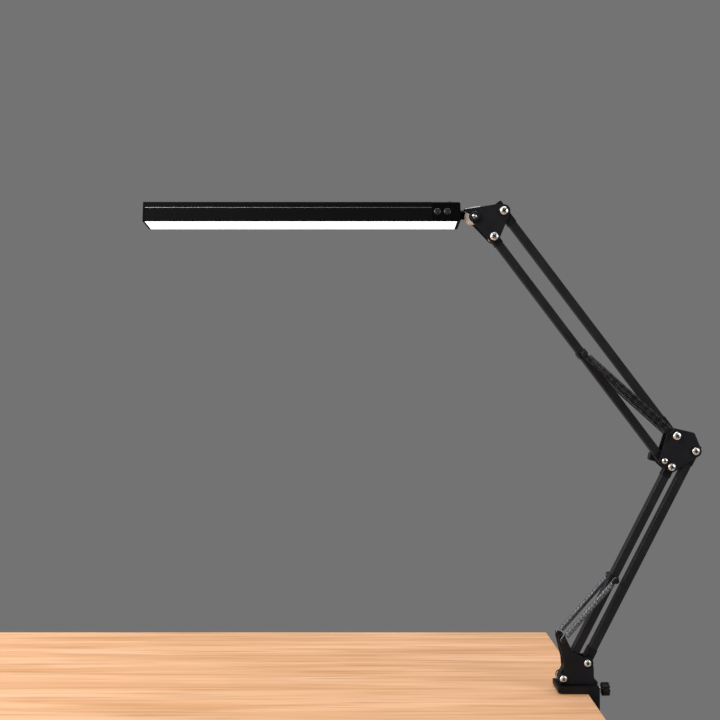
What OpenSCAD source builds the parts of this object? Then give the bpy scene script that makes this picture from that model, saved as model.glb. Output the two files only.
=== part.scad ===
// Clamp lamp: a straight light bar on a two-stage parallel-link arm with tension springs,
// on a bracket that swivels in a screw clamp. The origin is the middle of the upper jaw's
// pad, where it lies on the desk. +Z is up, +X runs from the pad to the clamp's back, and
// the arm swings in the XZ plane.

/* [Clamp] */
// Length of the upper jaw's pad
pad_len = 30; // [24:1:36]
// Width of the clamp frame and its jaws
jaw_w = 34; // [30:1:44]
// Thickness of the upper jaw's metal
jaw_t = 7.5; // [6:0.5:10]
// Thickness of the rubber pads
pad_t = 1.5; // [1:0.5:3]
// Thickness of the clamp's back
spine_t = 13.2; // [12:0.1:20]
// Height from the upper pad's face to the lower arm
throat_h = 61; // [56:1:75]
// Thickness of the lower arm
foot_t = 9; // [7:0.5:12]
// Opening between the two pads at rest
open_h = 30; // [20:1:34]
// Diameter of the clamping screw
screw_d = 10; // [8:0.5:12]
// Diameter of the pressure plate
plate_d = 26; // [22:1:30]
// Diameter of the clamping knob
clamp_knob_d = 34; // [28:1:40]
// Diameter of the thumb screw's knob
lock_knob_d = 17; // [12:0.5:17]

/* [Base bracket] */
// Diameter of the swivel post
post_d = 8; // [7:0.5:8.5]
// Length of the post inside the clamp
post_len = 34; // [24:1:42]
// Height of the rear pivot above the swivel washer
pivot_rise = 26.9; // [24:0.1:34]
// Thickness of the bracket sheet
sheet_t = 2.5; // [2:0.1:3.5]
// Height of the spring anchor pins above the front pivot
anchor_rise = 51; // [46:1:58]

/* [Arms] */
// Length of the lower arm between pivots
lower_len = 302; // [260:1:340]
// Slope of the lower arm at rest, in degrees from level
lower_slope = 62.9; // [58:0.1:80]
// Distance between the lower arm's two pivots in each bracket
lower_gap = 36.6; // [34:0.1:42]
// Length of the upper arm between pivots
upper_len = 358; // [320:1:400]
// Slope of the upper arm at rest, in degrees from level
upper_slope = 127.2; // [112:0.1:140]
// Distance between the upper arm's two pivots in each bracket
upper_gap = 34.8; // [32:0.1:40]
// Outer width of the square arm tubes
tube_w = 10; // [8:0.5:10.5]
// Wall of the arm tubes
tube_wall = 1; // [0.8:0.1:1.5]
// Wall of the plastic end fittings round the tubes
cap_wall = 0.6; // [0.4:0.1:0.8]
// Reach of the end fittings along the tubes
cap_reach = 19; // [16:1:24]
// Thickness of the elbow and head plates
plate_t = 2; // [1.5:0.1:3]

/* [Fasteners] */
// Diameter of the pivot bolts
bolt_d = 5; // [4:0.5:6]
// Diameter of the pivot bolt heads
bolt_head_d = 10; // [9:0.5:11]
// Height of the pivot bolt heads
bolt_head_h = 3; // [2:0.5:4]
// Diameter of the elbow's friction bolt
lock_bolt_d = 4; // [3:0.5:5]
// Thickness of the nylon washers
washer_t = 0.8; // [0.6:0.1:1.2]

/* [Springs] */
// Outer diameter of the lower springs
lower_spring_d = 7.2; // [6:0.2:8]
// Outer diameter of the upper springs
upper_spring_d = 9.4; // [8:0.2:10]
// Wire of the lower springs
lower_wire_d = 1.3; // [1:0.1:1.5]
// Wire of the upper springs
upper_wire_d = 1.6; // [1.2:0.1:1.8]
// Curls of each spring
curls = 20; // [16:1:20]
// Diameter of the anchor pins and the spring pins
spring_pin_d = 4; // [3:0.5:5]
// Distance of the lower springs' pin from the front pivot
lower_pin_at = 142; // [120:1:160]
// Distance of the upper springs' pin from the elbow
upper_pin_at = 171; // [150:1:190]

/* [Light bar] */
// Length of the light bar
bar_len = 400; // [340:1:460]
// Depth of the light bar, front to back
bar_depth = 38; // [34:1:46]
// Height of the light bar
bar_h = 25.4; // [24:0.2:30]
// Wall of the light bar
bar_wall = 1.6; // [1.2:0.1:2]
// Turn of the light bar about its neck at rest, in degrees
bar_roll = 8; // [0:1:20]
// Length of the control housing
control_len = 36; // [34:1:48]
// Thickness of the diffuser
diffuser_t = 2.4; // [2:0.1:3]
// Diameter of the buttons
button_d = 8.8; // [7:0.2:10]
// Distance between the buttons
button_pitch = 12.6; // [12:0.2:14]
// Diameter of the ribbed neck
neck_d = 12.4; // [11:0.2:12.8]
// Length of the ribbed neck
neck_len = 7; // [5:0.5:10]
// LEDs in each of the two rows
led_count = 40; // [20:1:48]

/* [Hidden] */
$fn = 48;

// Clearances
run_gap = 0.05; // radial gap of a shaft in its bearing
free_gap = 0.3; // gap between faces that move past each other
slip_gap = 0.1; // gap of a plug inside a tube

black = "#1b1b1f";
satin = "#2a2a2e";
zinc = "#d9d9d6";

// Clamp places
jaw_top = pad_t + jaw_t;
jaw_rim = 1.5;
jaw_nose = 5;
spine_gap = 4.2;
fillet_r = 2;
jaw_x0 = -pad_len / 2 - jaw_nose;
spine_x0 = pad_len / 2 + spine_gap;
spine_x1 = spine_x0 + spine_t;
post_wall = 1.8;
post_x = spine_x0 + post_wall + post_d / 2;
foot_top = -throat_h;
boss_d = screw_d + 12;
boss_h = 5;
boss_low = foot_top - foot_t - boss_h;
press_t = 3;
press_low = -open_h - pad_t - press_t;
close_travel = open_h - 4;
knob_top = boss_low - close_travel - 3;
clamp_knob_h = 14;
screw_low = knob_top - clamp_knob_h + 2;
lock_z = 1;
lock_d = 6;
lock_tip_len = 1.6;
lock_tip_x = post_x + post_d / 2 + run_gap;
lock_knob_x = spine_x1 + 5.9;
lock_knob_len = 10;

// Depth levels, as distances from the middle plane
cap_w = tube_w + 2 * cap_wall;
cheek_in = cap_w / 2 + washer_t + slip_gap;
plate_out = cheek_in + plate_t;
cheek_out = cheek_in + sheet_t;
hook_y = max(plate_out, cheek_out) + 0.9 + upper_spring_d / 2;
pin_reach = hook_y + 3;
pin_head_t = 1.6;
bolt_r = bolt_d / 2;
pin_r = spring_pin_d / 2;

// Base bracket places
washer_d = post_d + 10;
swivel_washer_t = 1;
base_z = jaw_top + swivel_washer_t;
web_t = 2.5;
lower_link_slope = 33.2;
base_rear = [post_x - 6.25, base_z + pivot_rise];
base_front = base_rear - lower_gap * ray(lower_link_slope);
anchor = base_front + [-1.6, anchor_rise];

// Arm places
elbow_rear = base_rear + lower_len * ray(lower_slope);
elbow_front = base_front + lower_len * ray(lower_slope);
upper_link_slope = 69.3;
elbow_low = elbow_front + [-8.8, 7.7];
elbow_high = elbow_low + upper_gap * ray(upper_link_slope);
head_low = elbow_low + upper_len * ray(upper_slope);
head_high = elbow_high + upper_len * ray(upper_slope);
lower_pin = base_front + lower_pin_at * ray(lower_slope);
upper_pin = elbow_low + upper_pin_at * ray(upper_slope);

// Head places
tilt = head_high + [-37.5, -7.2];
neck_z = tilt.y + 3;
bar_x = tilt.x - 18.6;
bar_top = 11.8;
bar_low = bar_top - bar_h;
bar_mid = (bar_top + bar_low) / 2;
half_depth = bar_depth / 2;
end_cap_t = 2.4;
control_x = -control_len;
end_wall = 3;
ledge = 0.7;
board_t = 1.2;
board_z = bar_top - bar_wall - 4;
board_inset = 9;
led_inset = 7;
lens_rim = 4.4;
button_x = -16.6;
button_proud = 0.8;
button_travel = 0.6;
screw_at = [-13.4, -half_depth + 3.4];
spindle_r = 4;
flange_r = 7;
yoke_half = cheek_in - free_gap;

function ray(a) = [cos(a), sin(a)];
function unit(v) = v / norm(v);
function slope(p, q) = atan2(q.y - p.y, q.x - p.x);

// Draws its 2D child in the XZ plane as a sheet between two depths
module sheet(y0, y1) {
    translate([0, y1, 0]) rotate([90, 0, 0]) linear_extrude(y1 - y0) children();
}

// Puts its child at a point of the XZ plane, with its own X along a slope
module at(p, a = 0) {
    translate([p.x, 0, p.y]) rotate([0, -a, 0]) children();
}

// Round bar along Y
module bar_y(r, y0, y1) {
    translate([0, y1, 0]) rotate([90, 0, 0]) cylinder(r = r, h = y1 - y0);
}

// Round bar along X
module bar_along_x(r, x0, x1) {
    translate([x0, 0, 0]) rotate([0, 90, 0]) cylinder(r = r, h = x1 - x0);
}

// Puts a child drawn behind the middle plane on one side: 1 behind it, -1 in front of it
module on_side(s) {
    mirror([0, (1 - s) / 2, 0]) children();
}

// Two circles joined by straight sides, whose corners lie just inside the circles
module lobe(p, rp, q, rq) {
    a = slope(p, q);
    t = acos((rp - rq) / norm(q - p));
    inside = 0.99;
    translate(p) circle(rp);
    translate(q) circle(rq);
    polygon([
        p + inside * rp * ray(a + t), p + inside * rp * ray(a - t),
        q + inside * rq * ray(a - t), q + inside * rq * ray(a + t)
    ]);
}

// Rectangle with round corners between two corners
module soft_rect(p, q, r) {
    translate([p.x + r, p.y]) square([q.x - p.x - 2 * r, q.y - p.y]);
    translate([p.x, p.y + r]) square([q.x - p.x, q.y - p.y - 2 * r]);
    for (x = [p.x + r, q.x - r], y = [p.y + r, q.y - r]) translate([x, y]) circle(r);
}

// Bolt along Y with a domed cross-recess head in front, its shank ending at y_end
module bolt(d, head_d, head_h, y_head, y_end) {
    slot = head_d * 0.14;
    difference() {
        union() {
            bar_y(d / 2, y_head - 0.01, y_end);
            bar_y(head_d / 2, y_head - head_h * 0.55, y_head);
            translate([0, y_head - head_h * 0.55, 0]) rotate([90, 0, 0])
                cylinder(r1 = head_d / 2, r2 = head_d * 0.33, h = head_h * 0.45);
        }
        for (a = [45, 135]) rotate([0, a, 0])
            translate([-head_d * 0.28, y_head - head_h - 1, -slot / 2])
                cube([head_d * 0.56, 1 + head_h * 0.6, slot]);
    }
}

// Hex nut along Y round a bolt
module nut(d, y0, h) {
    difference() {
        translate([0, y0 + h, 0]) rotate([90, 0, 0]) cylinder(d = d * 1.85, h = h, $fn = 6);
        bar_y(d / 2 + run_gap, y0 - 1, y0 + h + 1);
    }
}

// Pair of thin washers, one on each side of an end fitting
module washer_pair(d) {
    for (s = [-1, 1]) on_side(s) difference() {
        bar_y(d + 1, (cap_w + slip_gap) / 2, cheek_in - slip_gap / 2);
        bar_y(d / 2 + run_gap, 0, pin_reach);
    }
}

// Square tube of an arm, between its two end fittings
tube_start = bolt_r + 2;
module arm_tube(p, a, len) {
    at(p, a) difference() {
        translate([tube_start, -tube_w / 2, -tube_w / 2]) cube([len - 2 * tube_start, tube_w, tube_w]);
        translate([0, -tube_w / 2 + tube_wall, -tube_w / 2 + tube_wall])
            cube([len, tube_w - 2 * tube_wall, tube_w - 2 * tube_wall]);
    }
}

// Plastic end fitting: an eye round the pivot, a plug in the tube and a sleeve over it
module end_fitting(tail, reach, hole_d) {
    plug = tube_w / 2 - tube_wall - slip_gap;
    difference() {
        sheet(-cap_w / 2, cap_w / 2) {
            if (tail <= cap_w / 2) circle(cap_w / 2);
            else soft_rect([-tail, -cap_w / 2], [cap_w / 2, cap_w / 2], 1.5);
            translate([0, -cap_w / 2]) square([reach, cap_w]);
        }
        translate([tube_start, -tube_w / 2, -tube_w / 2]) cube([reach, tube_w, tube_w]);
        bar_y(hole_d / 2 + run_gap, -cap_w, cap_w);
    }
    translate([tube_start - 0.01, -plug, -plug]) cube([reach * 0.8, 2 * plug, 2 * plug]);
}

// The two end fittings of one arm tube
module arm_ends(p, a, len, tails, reaches, holes) {
    at(p, a) {
        end_fitting(tails[0], reaches[0], holes[0]);
        translate([len, 0, 0]) rotate([0, 180, 0]) end_fitting(tails[1], reaches[1], holes[1]);
    }
}

// Collar round a tube with the cross pin that two springs hook on
module spring_clip(p, a) {
    clip_w = tube_w + 2.4;
    at(p, a) difference() {
        translate([-4, -clip_w / 2, -clip_w / 2]) cube([8, clip_w, clip_w]);
        translate([-5, -tube_w / 2 - run_gap, -tube_w / 2 - run_gap])
            cube([10, tube_w + 2 * run_gap, tube_w + 2 * run_gap]);
    }
    for (s = [-1, 1]) at(p, a) on_side(s) {
        bar_y(pin_r, clip_w * 0.49, pin_reach);
        bar_y(pin_r + 1.6, pin_reach - 0.01, pin_reach + pin_head_t);
    }
}

// Springs: one tube along hook, coil and hook. The path's own X is the spring's axis.
rings_per_curl = 8;
hook_step = 30;
lead_len = 3.2;
function hook_radius(wire, bar_r) = bar_r + free_gap + wire / 2;
function hook_turn(lift, a) = lift * [cos(a), 0, sin(a)];
function coil_point(r, x, phase) = [x, -r * sin(phase), r * cos(phase)];
function spring_path(len, d, wire, bars) =
    let (
        r = (d - wire) / 2,
        lifts = [hook_radius(wire, bars[0]), hook_radius(wire, bars[1])],
        start = lifts[0] + lead_len,
        stop = len - lifts[1] - lead_len,
        steps = curls * rings_per_curl
    )
    concat(
        [for (a = [300 : -hook_step : 90]) hook_turn(lifts[0], a)],
        [for (i = [0 : steps]) coil_point(r, start + (stop - start) * i / steps, 360 * i / rings_per_curl)],
        [for (a = [90 : -hook_step : -120]) [len, 0, 0] + hook_turn(lifts[1], a)]
    );
function tangent(path, i) = unit(path[min(i + 1, len(path) - 1)] - path[max(i - 1, 0)]);
function carried(normal, t) = unit(normal - (normal * t) * t);
function normals(path) = [
    for (i = 0, n = carried([0, 1, 0.2], tangent(path, 0)); i < len(path);
         i = i + 1, n = carried(n, tangent(path, min(i, len(path) - 1)))) n
];
function least_gap(path, d) = min([
    for (i = [0 : len(path) - 6]) min([for (j = [i + 5 : len(path) - 1]) norm(path[i] - path[j])])
]) - d;

module tube_along(path, d, sides = 6) {
    around = normals(path);
    last = len(path) - 1;
    points = [
        for (i = [0 : last])
            let (t = tangent(path, i), n = around[i], b = cross(t, n))
            for (k = [0 : sides - 1])
                path[i] + d / 2 * (cos(360 * k / sides) * n + sin(360 * k / sides) * b)
    ];
    faces = concat(
        [for (i = [0 : last - 1], k = [0 : sides - 1])
            [i * sides + k, (i + 1) * sides + k, (i + 1) * sides + (k + 1) % sides]],
        [for (i = [0 : last - 1], k = [0 : sides - 1])
            [i * sides + k, (i + 1) * sides + (k + 1) % sides, i * sides + (k + 1) % sides]],
        [for (k = [1 : sides - 2]) [0, k, k + 1]],
        [for (k = [1 : sides - 2]) [last * sides, last * sides + k + 1, last * sides + k]]
    );
    polyhedron(points, faces, convexity = 10);
}

// Spring between two places, hooked round bars of two radii
module spring(p, q, y, d, wire, bars) {
    path = spring_path(norm(q - p), d, wire, bars);
    echo(str("least gap of a spring to itself, mm: ", least_gap(path, wire)));
    translate([0, y, 0]) at(p, slope(p, q)) tube_along(path, wire);
}

// Clamp
module clamp_frame() {
    color(black) difference() {
        union() {
            sheet(-jaw_w / 2, jaw_w / 2) {
                soft_rect([jaw_x0, pad_t], [spine_x1, jaw_top], 1.2);
                soft_rect([spine_x0, foot_top - foot_t], [spine_x1, jaw_top], 2.5);
                soft_rect([jaw_x0, foot_top - foot_t], [spine_x1, foot_top], 2.5);
                for (s = [0, 1]) translate([spine_x0, s * (pad_t - foot_top) + foot_top])
                    mirror([0, s]) difference() {
                        translate([-fillet_r, -0.01]) square([fillet_r + 0.01, fillet_r + 0.01]);
                        translate([-fillet_r, fillet_r]) circle(fillet_r);
                    }
            }
            translate([0, 0, boss_low]) cylinder(d = boss_d, h = boss_h + 0.01);
        }
        translate([0, 0, boss_low - 1]) cylinder(r = screw_d / 2 + run_gap, h = boss_h + foot_t + 2);
        translate([post_x, 0, jaw_top - post_len]) cylinder(r = post_d / 2 + run_gap, h = post_len + 1);
        translate([0, 0, lock_z]) bar_along_x(lock_d / 2 + run_gap, post_x, spine_x1 + 1);
        translate([jaw_x0 + 4, 0, 0]) for (s = [-1, 1])
            translate([0, s * (jaw_w / 2 - 5) - 1.5, jaw_top - 0.8]) cube([pad_len - 4, 3, 1]);
    }
}

module jaw_pad() {
    color(satin) translate([-pad_len / 2, -jaw_w / 2 + jaw_rim, 0])
        cube([pad_len, jaw_w - 2 * jaw_rim, pad_t]);
}

module swivel_washer() {
    color(zinc) translate([post_x, 0, jaw_top]) difference() {
        cylinder(d = min(washer_d, jaw_w), h = swivel_washer_t - slip_gap);
        translate([0, 0, -1]) cylinder(r = post_d / 2 + run_gap, h = 3);
    }
}

module clamp_screw() {
    color(zinc) translate([0, 0, screw_low]) cylinder(d = screw_d, h = press_low - 1 - screw_low);
    color(zinc) translate([0, 0, press_low - 1.01]) cylinder(d = screw_d * 0.55, h = press_t + 0.11);
}

module clamp_knob() {
    lobes = 6;
    color(satin) difference() {
        union() {
            translate([0, 0, knob_top - clamp_knob_h])
                cylinder(d = clamp_knob_d - 7, h = clamp_knob_h - 3);
            translate([0, 0, knob_top - 3.01]) cylinder(d = screw_d + 8, h = 3.01);
            for (i = [1 : lobes]) rotate([0, 0, 360 * i / lobes])
                translate([clamp_knob_d / 2 - 5, 0, knob_top - clamp_knob_h])
                    cylinder(r = 5, h = clamp_knob_h - 3);
        }
        translate([0, 0, screw_low - 0.01]) cylinder(r = screw_d / 2 + 0.01, h = clamp_knob_h + 2);
    }
}

module pressure_plate() {
    color(zinc) difference() {
        union() {
            translate([0, 0, press_low]) cylinder(d = plate_d, h = press_t);
            translate([0, 0, press_low - 0.8]) cylinder(d = screw_d + 4, h = 0.81);
        }
        translate([0, 0, press_low - 2]) cylinder(d = screw_d * 0.55 + 2 * run_gap, h = press_t + 1.4);
    }
}

module pressure_pad() {
    color(satin) translate([0, 0, -open_h - pad_t]) cylinder(d = plate_d - 1, h = pad_t);
}

module lock_tip() {
    color("#e8e4d8") translate([0, 0, lock_z])
        bar_along_x(lock_d / 2 - run_gap, lock_tip_x, lock_tip_x + lock_tip_len);
}

module lock_screw() {
    color(zinc) translate([0, 0, lock_z])
        bar_along_x(lock_d / 2, lock_tip_x + lock_tip_len + run_gap, lock_knob_x + lock_knob_len * 0.7);
}

module lock_knob() {
    flutes = 8;
    color(satin) translate([0, 0, lock_z]) difference() {
        bar_along_x(lock_knob_d / 2, lock_knob_x, lock_knob_x + lock_knob_len);
        bar_along_x(lock_d / 2, lock_knob_x - 1, lock_knob_x + lock_knob_len * 0.7);
        for (i = [1 : flutes]) rotate([360 * i / flutes, 0, 0])
            translate([0, 0, lock_knob_d / 2])
                bar_along_x(1.3, lock_knob_x + 1.2, lock_knob_x + lock_knob_len + 1);
    }
}

// Base bracket: one bent sheet with two cheeks and a web below
module cheek_outline() {
    ear = base_front + [6.5, 28];
    foot_x1 = post_x + post_d / 2 + 2.5;
    lobe(anchor, 5, ear, 7.5);
    translate(base_rear) circle(7.6);
    translate(base_front) circle(min(7, base_front.y - base_z - free_gap));
    polygon([
        base_front + [1, 12], base_front, [base_front.x - 4, base_z], [foot_x1, base_z],
        [foot_x1, base_z + web_t + 1], [foot_x1 - 4.6, base_z + 8], [foot_x1 - 4.6, base_rear.y - 7],
        base_rear + [7, 0], base_rear + [-3.2, 6.4], ear + [3, 6.4], ear + [-7, 1]
    ]);
}

module base_bracket() {
    web_x0 = base_front.x + cap_w / 2 + 3;
    web_x1 = post_x + post_d / 2 + 2.5;
    color(black) difference() {
        union() {
            for (s = [-1, 1]) on_side(s) sheet(cheek_in, cheek_out) cheek_outline();
            translate([web_x0, -cheek_out, base_z]) cube([web_x1 - web_x0, 2 * cheek_out, web_t]);
        }
        for (p = [base_rear, base_front]) at(p) bar_y(bolt_r + run_gap, -pin_reach, pin_reach);
        at(anchor) bar_y(pin_r + run_gap, -pin_reach, pin_reach);
        translate([post_x, 0, base_z - 1]) cylinder(r = post_d / 2 - 1 + run_gap, h = web_t + 2);
    }
}

module swivel_post() {
    color(zinc) translate([post_x, 0, jaw_top - post_len + 1])
        cylinder(d = post_d, h = base_z - jaw_top + post_len - 1);
    color(zinc) translate([post_x, 0, base_z - 0.01]) cylinder(r = post_d / 2 - 1, h = web_t + 0.5);
    color(zinc) translate([post_x, 0, base_z + web_t]) cylinder(r = post_d / 2 + 2, h = 1.5);
}

module base_pivot_bolts() {
    color(zinc) for (p = [base_rear, base_front]) at(p)
        bolt(bolt_d, bolt_head_d, bolt_head_h, -cheek_out, cheek_out + 5);
}

module base_pivot_nuts() {
    color(zinc) for (p = [base_rear, base_front]) at(p) nut(bolt_d, cheek_out, 4);
}

module base_washers() {
    color(zinc) for (p = [base_rear, base_front]) at(p) washer_pair(bolt_d);
}

module spring_anchor_pins() {
    color(black) for (a = [0, 180]) at(anchor) rotate([0, 0, a]) {
        bar_y(pin_r, -pin_reach, -cheek_in);
        bar_y(pin_r + 1.2, -pin_reach - pin_head_t, -pin_reach + 0.01);
        bar_y(pin_r + 1, -cheek_in, -cheek_in + 0.7);
    }
}

// Lower arm
module lower_rear_tube() { color(satin) arm_tube(base_rear, lower_slope, lower_len); }
module lower_front_tube() { color(satin) arm_tube(base_front, lower_slope, lower_len); }
module lower_rear_ends() {
    color(black) arm_ends(base_rear, lower_slope, lower_len, [7.5, 8.5], [cap_reach, cap_reach],
                          [bolt_d, bolt_d]);
}
module lower_front_ends() {
    color(black) arm_ends(base_front, lower_slope, lower_len, [0, 0], [cap_reach, cap_reach - 5],
                          [bolt_d, bolt_d]);
}
module lower_spring_clip() { color(black) spring_clip(lower_pin, lower_slope); }
module lower_spring_near() {
    color(zinc) spring(anchor, lower_pin, -hook_y, lower_spring_d, lower_wire_d, [pin_r, pin_r]);
}
module lower_spring_far() {
    color(zinc) spring(anchor, lower_pin, hook_y, lower_spring_d, lower_wire_d, [pin_r, pin_r]);
}

// Elbow
elbow_corner = elbow_high + [22, -1];
module elbow_outline() {
    lobe(elbow_high, 9, elbow_low, 7);
    lobe(elbow_low, 7, elbow_front, 7);
    lobe(elbow_front, 7, elbow_rear, 7.6);
    lobe(elbow_rear, 7.6, elbow_corner, 5);
    lobe(elbow_corner, 5, elbow_high, 9);
    polygon([elbow_high, elbow_low, elbow_front, elbow_rear, elbow_corner]);
}
module elbow_plate(s) {
    color(black) difference() {
        on_side(s) sheet(cheek_in, plate_out) elbow_outline();
        for (p = [elbow_high, elbow_rear, elbow_front]) at(p) bar_y(bolt_r + run_gap, -pin_reach, pin_reach);
        at(elbow_low) bar_y(lock_bolt_d / 2 + run_gap, -pin_reach, pin_reach);
    }
}
module elbow_front_plate() { elbow_plate(-1); }
module elbow_rear_plate() { elbow_plate(1); }
module elbow_spacer() {
    centre = (elbow_high + elbow_low + elbow_rear + elbow_front) / 4;
    color(black) at(centre) bar_y(5, -cheek_in, cheek_in);
    color(black) sheet(-cheek_in, cheek_in) lobe(elbow_corner + [-5, 1.4], 2, elbow_corner + [1, -1.5], 2);
}
module elbow_bolts() {
    color(zinc) for (p = [elbow_rear, elbow_front]) at(p)
        bolt(bolt_d, bolt_head_d, bolt_head_h, -plate_out, plate_out + 5);
}
module elbow_nuts() {
    color(zinc) {
        for (p = [elbow_rear, elbow_front]) at(p) nut(bolt_d, plate_out, 4);
        at(elbow_high) nut(bolt_d, pin_reach, 4);
    }
}
module elbow_washers() {
    color(zinc) {
        for (p = [elbow_high, elbow_rear, elbow_front]) at(p) washer_pair(bolt_d);
        at(elbow_low) washer_pair(lock_bolt_d);
    }
}
module elbow_spring_bolt() {
    color(zinc) at(elbow_high) bolt(bolt_d, bolt_head_d, bolt_head_h, -pin_reach, pin_reach + 5);
}
module elbow_friction_bolt() {
    color(zinc) at(elbow_low) bolt(lock_bolt_d, lock_bolt_d * 1.85, 2.4, -plate_out, plate_out + 12);
}
module elbow_wing_nut() {
    hub = plate_out + free_gap;
    color(satin) at(elbow_low) difference() {
        union() {
            bar_y(5.5, hub, hub + 9);
            sheet(hub + 5.5, hub + 13) rotate(-4) for (s = [-1, 1])
                lobe([0, 0], 2.2, [s * 10.5, 0.6], 4);
        }
        bar_y(lock_bolt_d / 2 + run_gap, hub - 1, hub + 14);
    }
}

// Upper arm
module upper_top_tube() { color(satin) arm_tube(elbow_high, upper_slope, upper_len); }
module upper_bottom_tube() { color(satin) arm_tube(elbow_low, upper_slope, upper_len); }
module upper_top_ends() {
    color(black) arm_ends(elbow_high, upper_slope, upper_len, [0, 13.5], [cap_reach + 7, cap_reach + 1],
                          [bolt_d, bolt_d]);
}
module upper_bottom_ends() {
    color(black) arm_ends(elbow_low, upper_slope, upper_len, [0, 0], [cap_reach - 6, cap_reach - 7],
                          [lock_bolt_d, bolt_d]);
}
module upper_spring_clip() { color(black) spring_clip(upper_pin, upper_slope); }
module upper_spring_near() {
    color(satin) spring(elbow_high, upper_pin, -hook_y, upper_spring_d, upper_wire_d, [bolt_r, pin_r]);
}
module upper_spring_far() {
    color(satin) spring(elbow_high, upper_pin, hook_y, upper_spring_d, upper_wire_d, [bolt_r, pin_r]);
}

// Head bracket
module head_outline() {
    lobe(head_high, 8.4, head_low, 7.4);
    lobe(head_low, 7.4, tilt, 6.8);
    polygon([
        tilt, head_low, head_high, head_high + [0.5, 8], head_high + [-11, 8.2],
        tilt + [-13.4, 9.2], tilt + [-13.6, 6.6], tilt + [-5, 3.4]
    ]);
}
module head_plate(s) {
    color(black) difference() {
        on_side(s) sheet(cheek_in, plate_out) head_outline();
        for (p = [head_high, head_low, tilt]) at(p) bar_y(bolt_r + run_gap, -pin_reach, pin_reach);
    }
}
module head_front_plate() { head_plate(-1); }
module head_rear_plate() { head_plate(1); }
module head_bolts() {
    color(zinc) for (p = [head_high, head_low]) at(p)
        bolt(bolt_d, bolt_head_d + 1.6, bolt_head_h, -plate_out, plate_out + 5);
}
module head_nuts() {
    color(zinc) for (p = [head_high, head_low, tilt]) at(p) nut(bolt_d, plate_out, 4);
}
module head_washers() {
    color(zinc) for (p = [head_high, head_low]) at(p) washer_pair(bolt_d);
}

// Tilt joint with its knob
knob_y = plate_out + free_gap;
module tilt_knob() {
    flutes = 16;
    color(black) at(tilt) difference() {
        bar_y(6.4, -knob_y - 5, -knob_y);
        bar_y(bolt_r, -knob_y - 6, -knob_y + 1);
        bar_y(4.1, -knob_y - 6, -knob_y - 2.5);
        for (i = [1 : flutes]) rotate([0, 360 * i / flutes, 0])
            translate([6.6, 0, 0]) bar_y(0.55, -knob_y - 6, -knob_y - 1.2);
    }
}
module tilt_bolt() {
    color(zinc) at(tilt) difference() {
        union() {
            bar_y(bolt_r, -knob_y - 3, plate_out + 5);
            bar_y(4, -knob_y - 4.4, -knob_y - 2.51);
        }
        translate([-0.8, -knob_y - 5, -5]) cube([1.6, 1.4, 10]);
    }
}

module head_yoke() {
    top = [for (x = [bar_x + neck_len - 0.1 - tilt.x, 7.7]) [x, 9.3 + (x + 11) * 0.165 + 1.2]];
    color(zinc) difference() {
        at(tilt) sheet(-yoke_half, yoke_half) polygon([
            top[0], top[1], [10, 7], [10, -4], [5, -8.5], [-6, -8.5], [-10.5, -5]
        ]);
        at(tilt) bar_y(bolt_r + run_gap, -pin_reach, pin_reach);
        translate([bar_x, 0, neck_z]) bar_along_x(spindle_r, 0, tilt.x - bar_x - 5.5);
    }
}

// Puts its child on the bar's own axes: X along the bar, with 0 at its inner end
module on_bar() {
    translate([bar_x, 0, neck_z]) rotate([-bar_roll, 0, 0]) children();
}

// Extrudes a 2D profile of depth and height along the bar
module along_bar(x0, x1) {
    translate([x0, 0, 0]) rotate([90, 0, 90]) linear_extrude(x1 - x0) children();
}

module roll_spindle() {
    color(zinc) on_bar() difference() {
        union() {
            bar_along_x(spindle_r - run_gap, -end_wall - 8, tilt.x - bar_x - 5.6);
            bar_along_x(flange_r, -end_wall - 2.3, -end_wall - free_gap);
        }
        bar_along_x(2, -end_wall - 9, tilt.x - bar_x - 8);
    }
}

module neck_collar() {
    rib = (neck_len - 0.4) / 7;
    color(black) on_bar() difference() {
        union() {
            bar_along_x(neck_d / 2 - 0.9, 0, neck_len - 0.4);
            for (i = [0 : 2 : 6]) bar_along_x(neck_d / 2, i * rib, (i + 1) * rib);
        }
        bar_along_x(spindle_r + run_gap, -1, neck_len + 1);
    }
}

// Light bar
module trough() {
    inner = half_depth - bar_wall;
    difference() {
        soft_rect([-half_depth, bar_low], [half_depth, bar_top], 1.4);
        translate([-inner, bar_low - 1]) square([2 * inner, bar_h - bar_wall + 1]);
        translate([-inner - 0.6, bar_low + 0.8]) square([2 * inner + 1.2, 1.2 + run_gap]);
        for (s = [-1, 1]) translate([s * half_depth - 0.5, bar_top - 7.8]) square([1, 0.9]);
    }
    for (s = [-1, 1]) translate([s * (inner - ledge / 2) - ledge / 2 - 0.01, board_z - 1 - run_gap])
        square([ledge + 0.02, 1]);
}

module bar_housing() {
    color(black) on_bar() along_bar(-bar_len + end_cap_t, control_x) trough();
}

module bar_end_cap() {
    color(black) on_bar() {
        along_bar(-bar_len, -bar_len + end_cap_t)
            soft_rect([-half_depth, bar_low], [half_depth, bar_top], 1.4);
        for (s = [-1, 1])
            along_bar(-bar_len + end_cap_t - 0.01, -bar_len + 10)
                translate([s * (half_depth - 6) - 1.5, bar_mid - 6]) square([3, 8]);
    }
}

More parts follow.
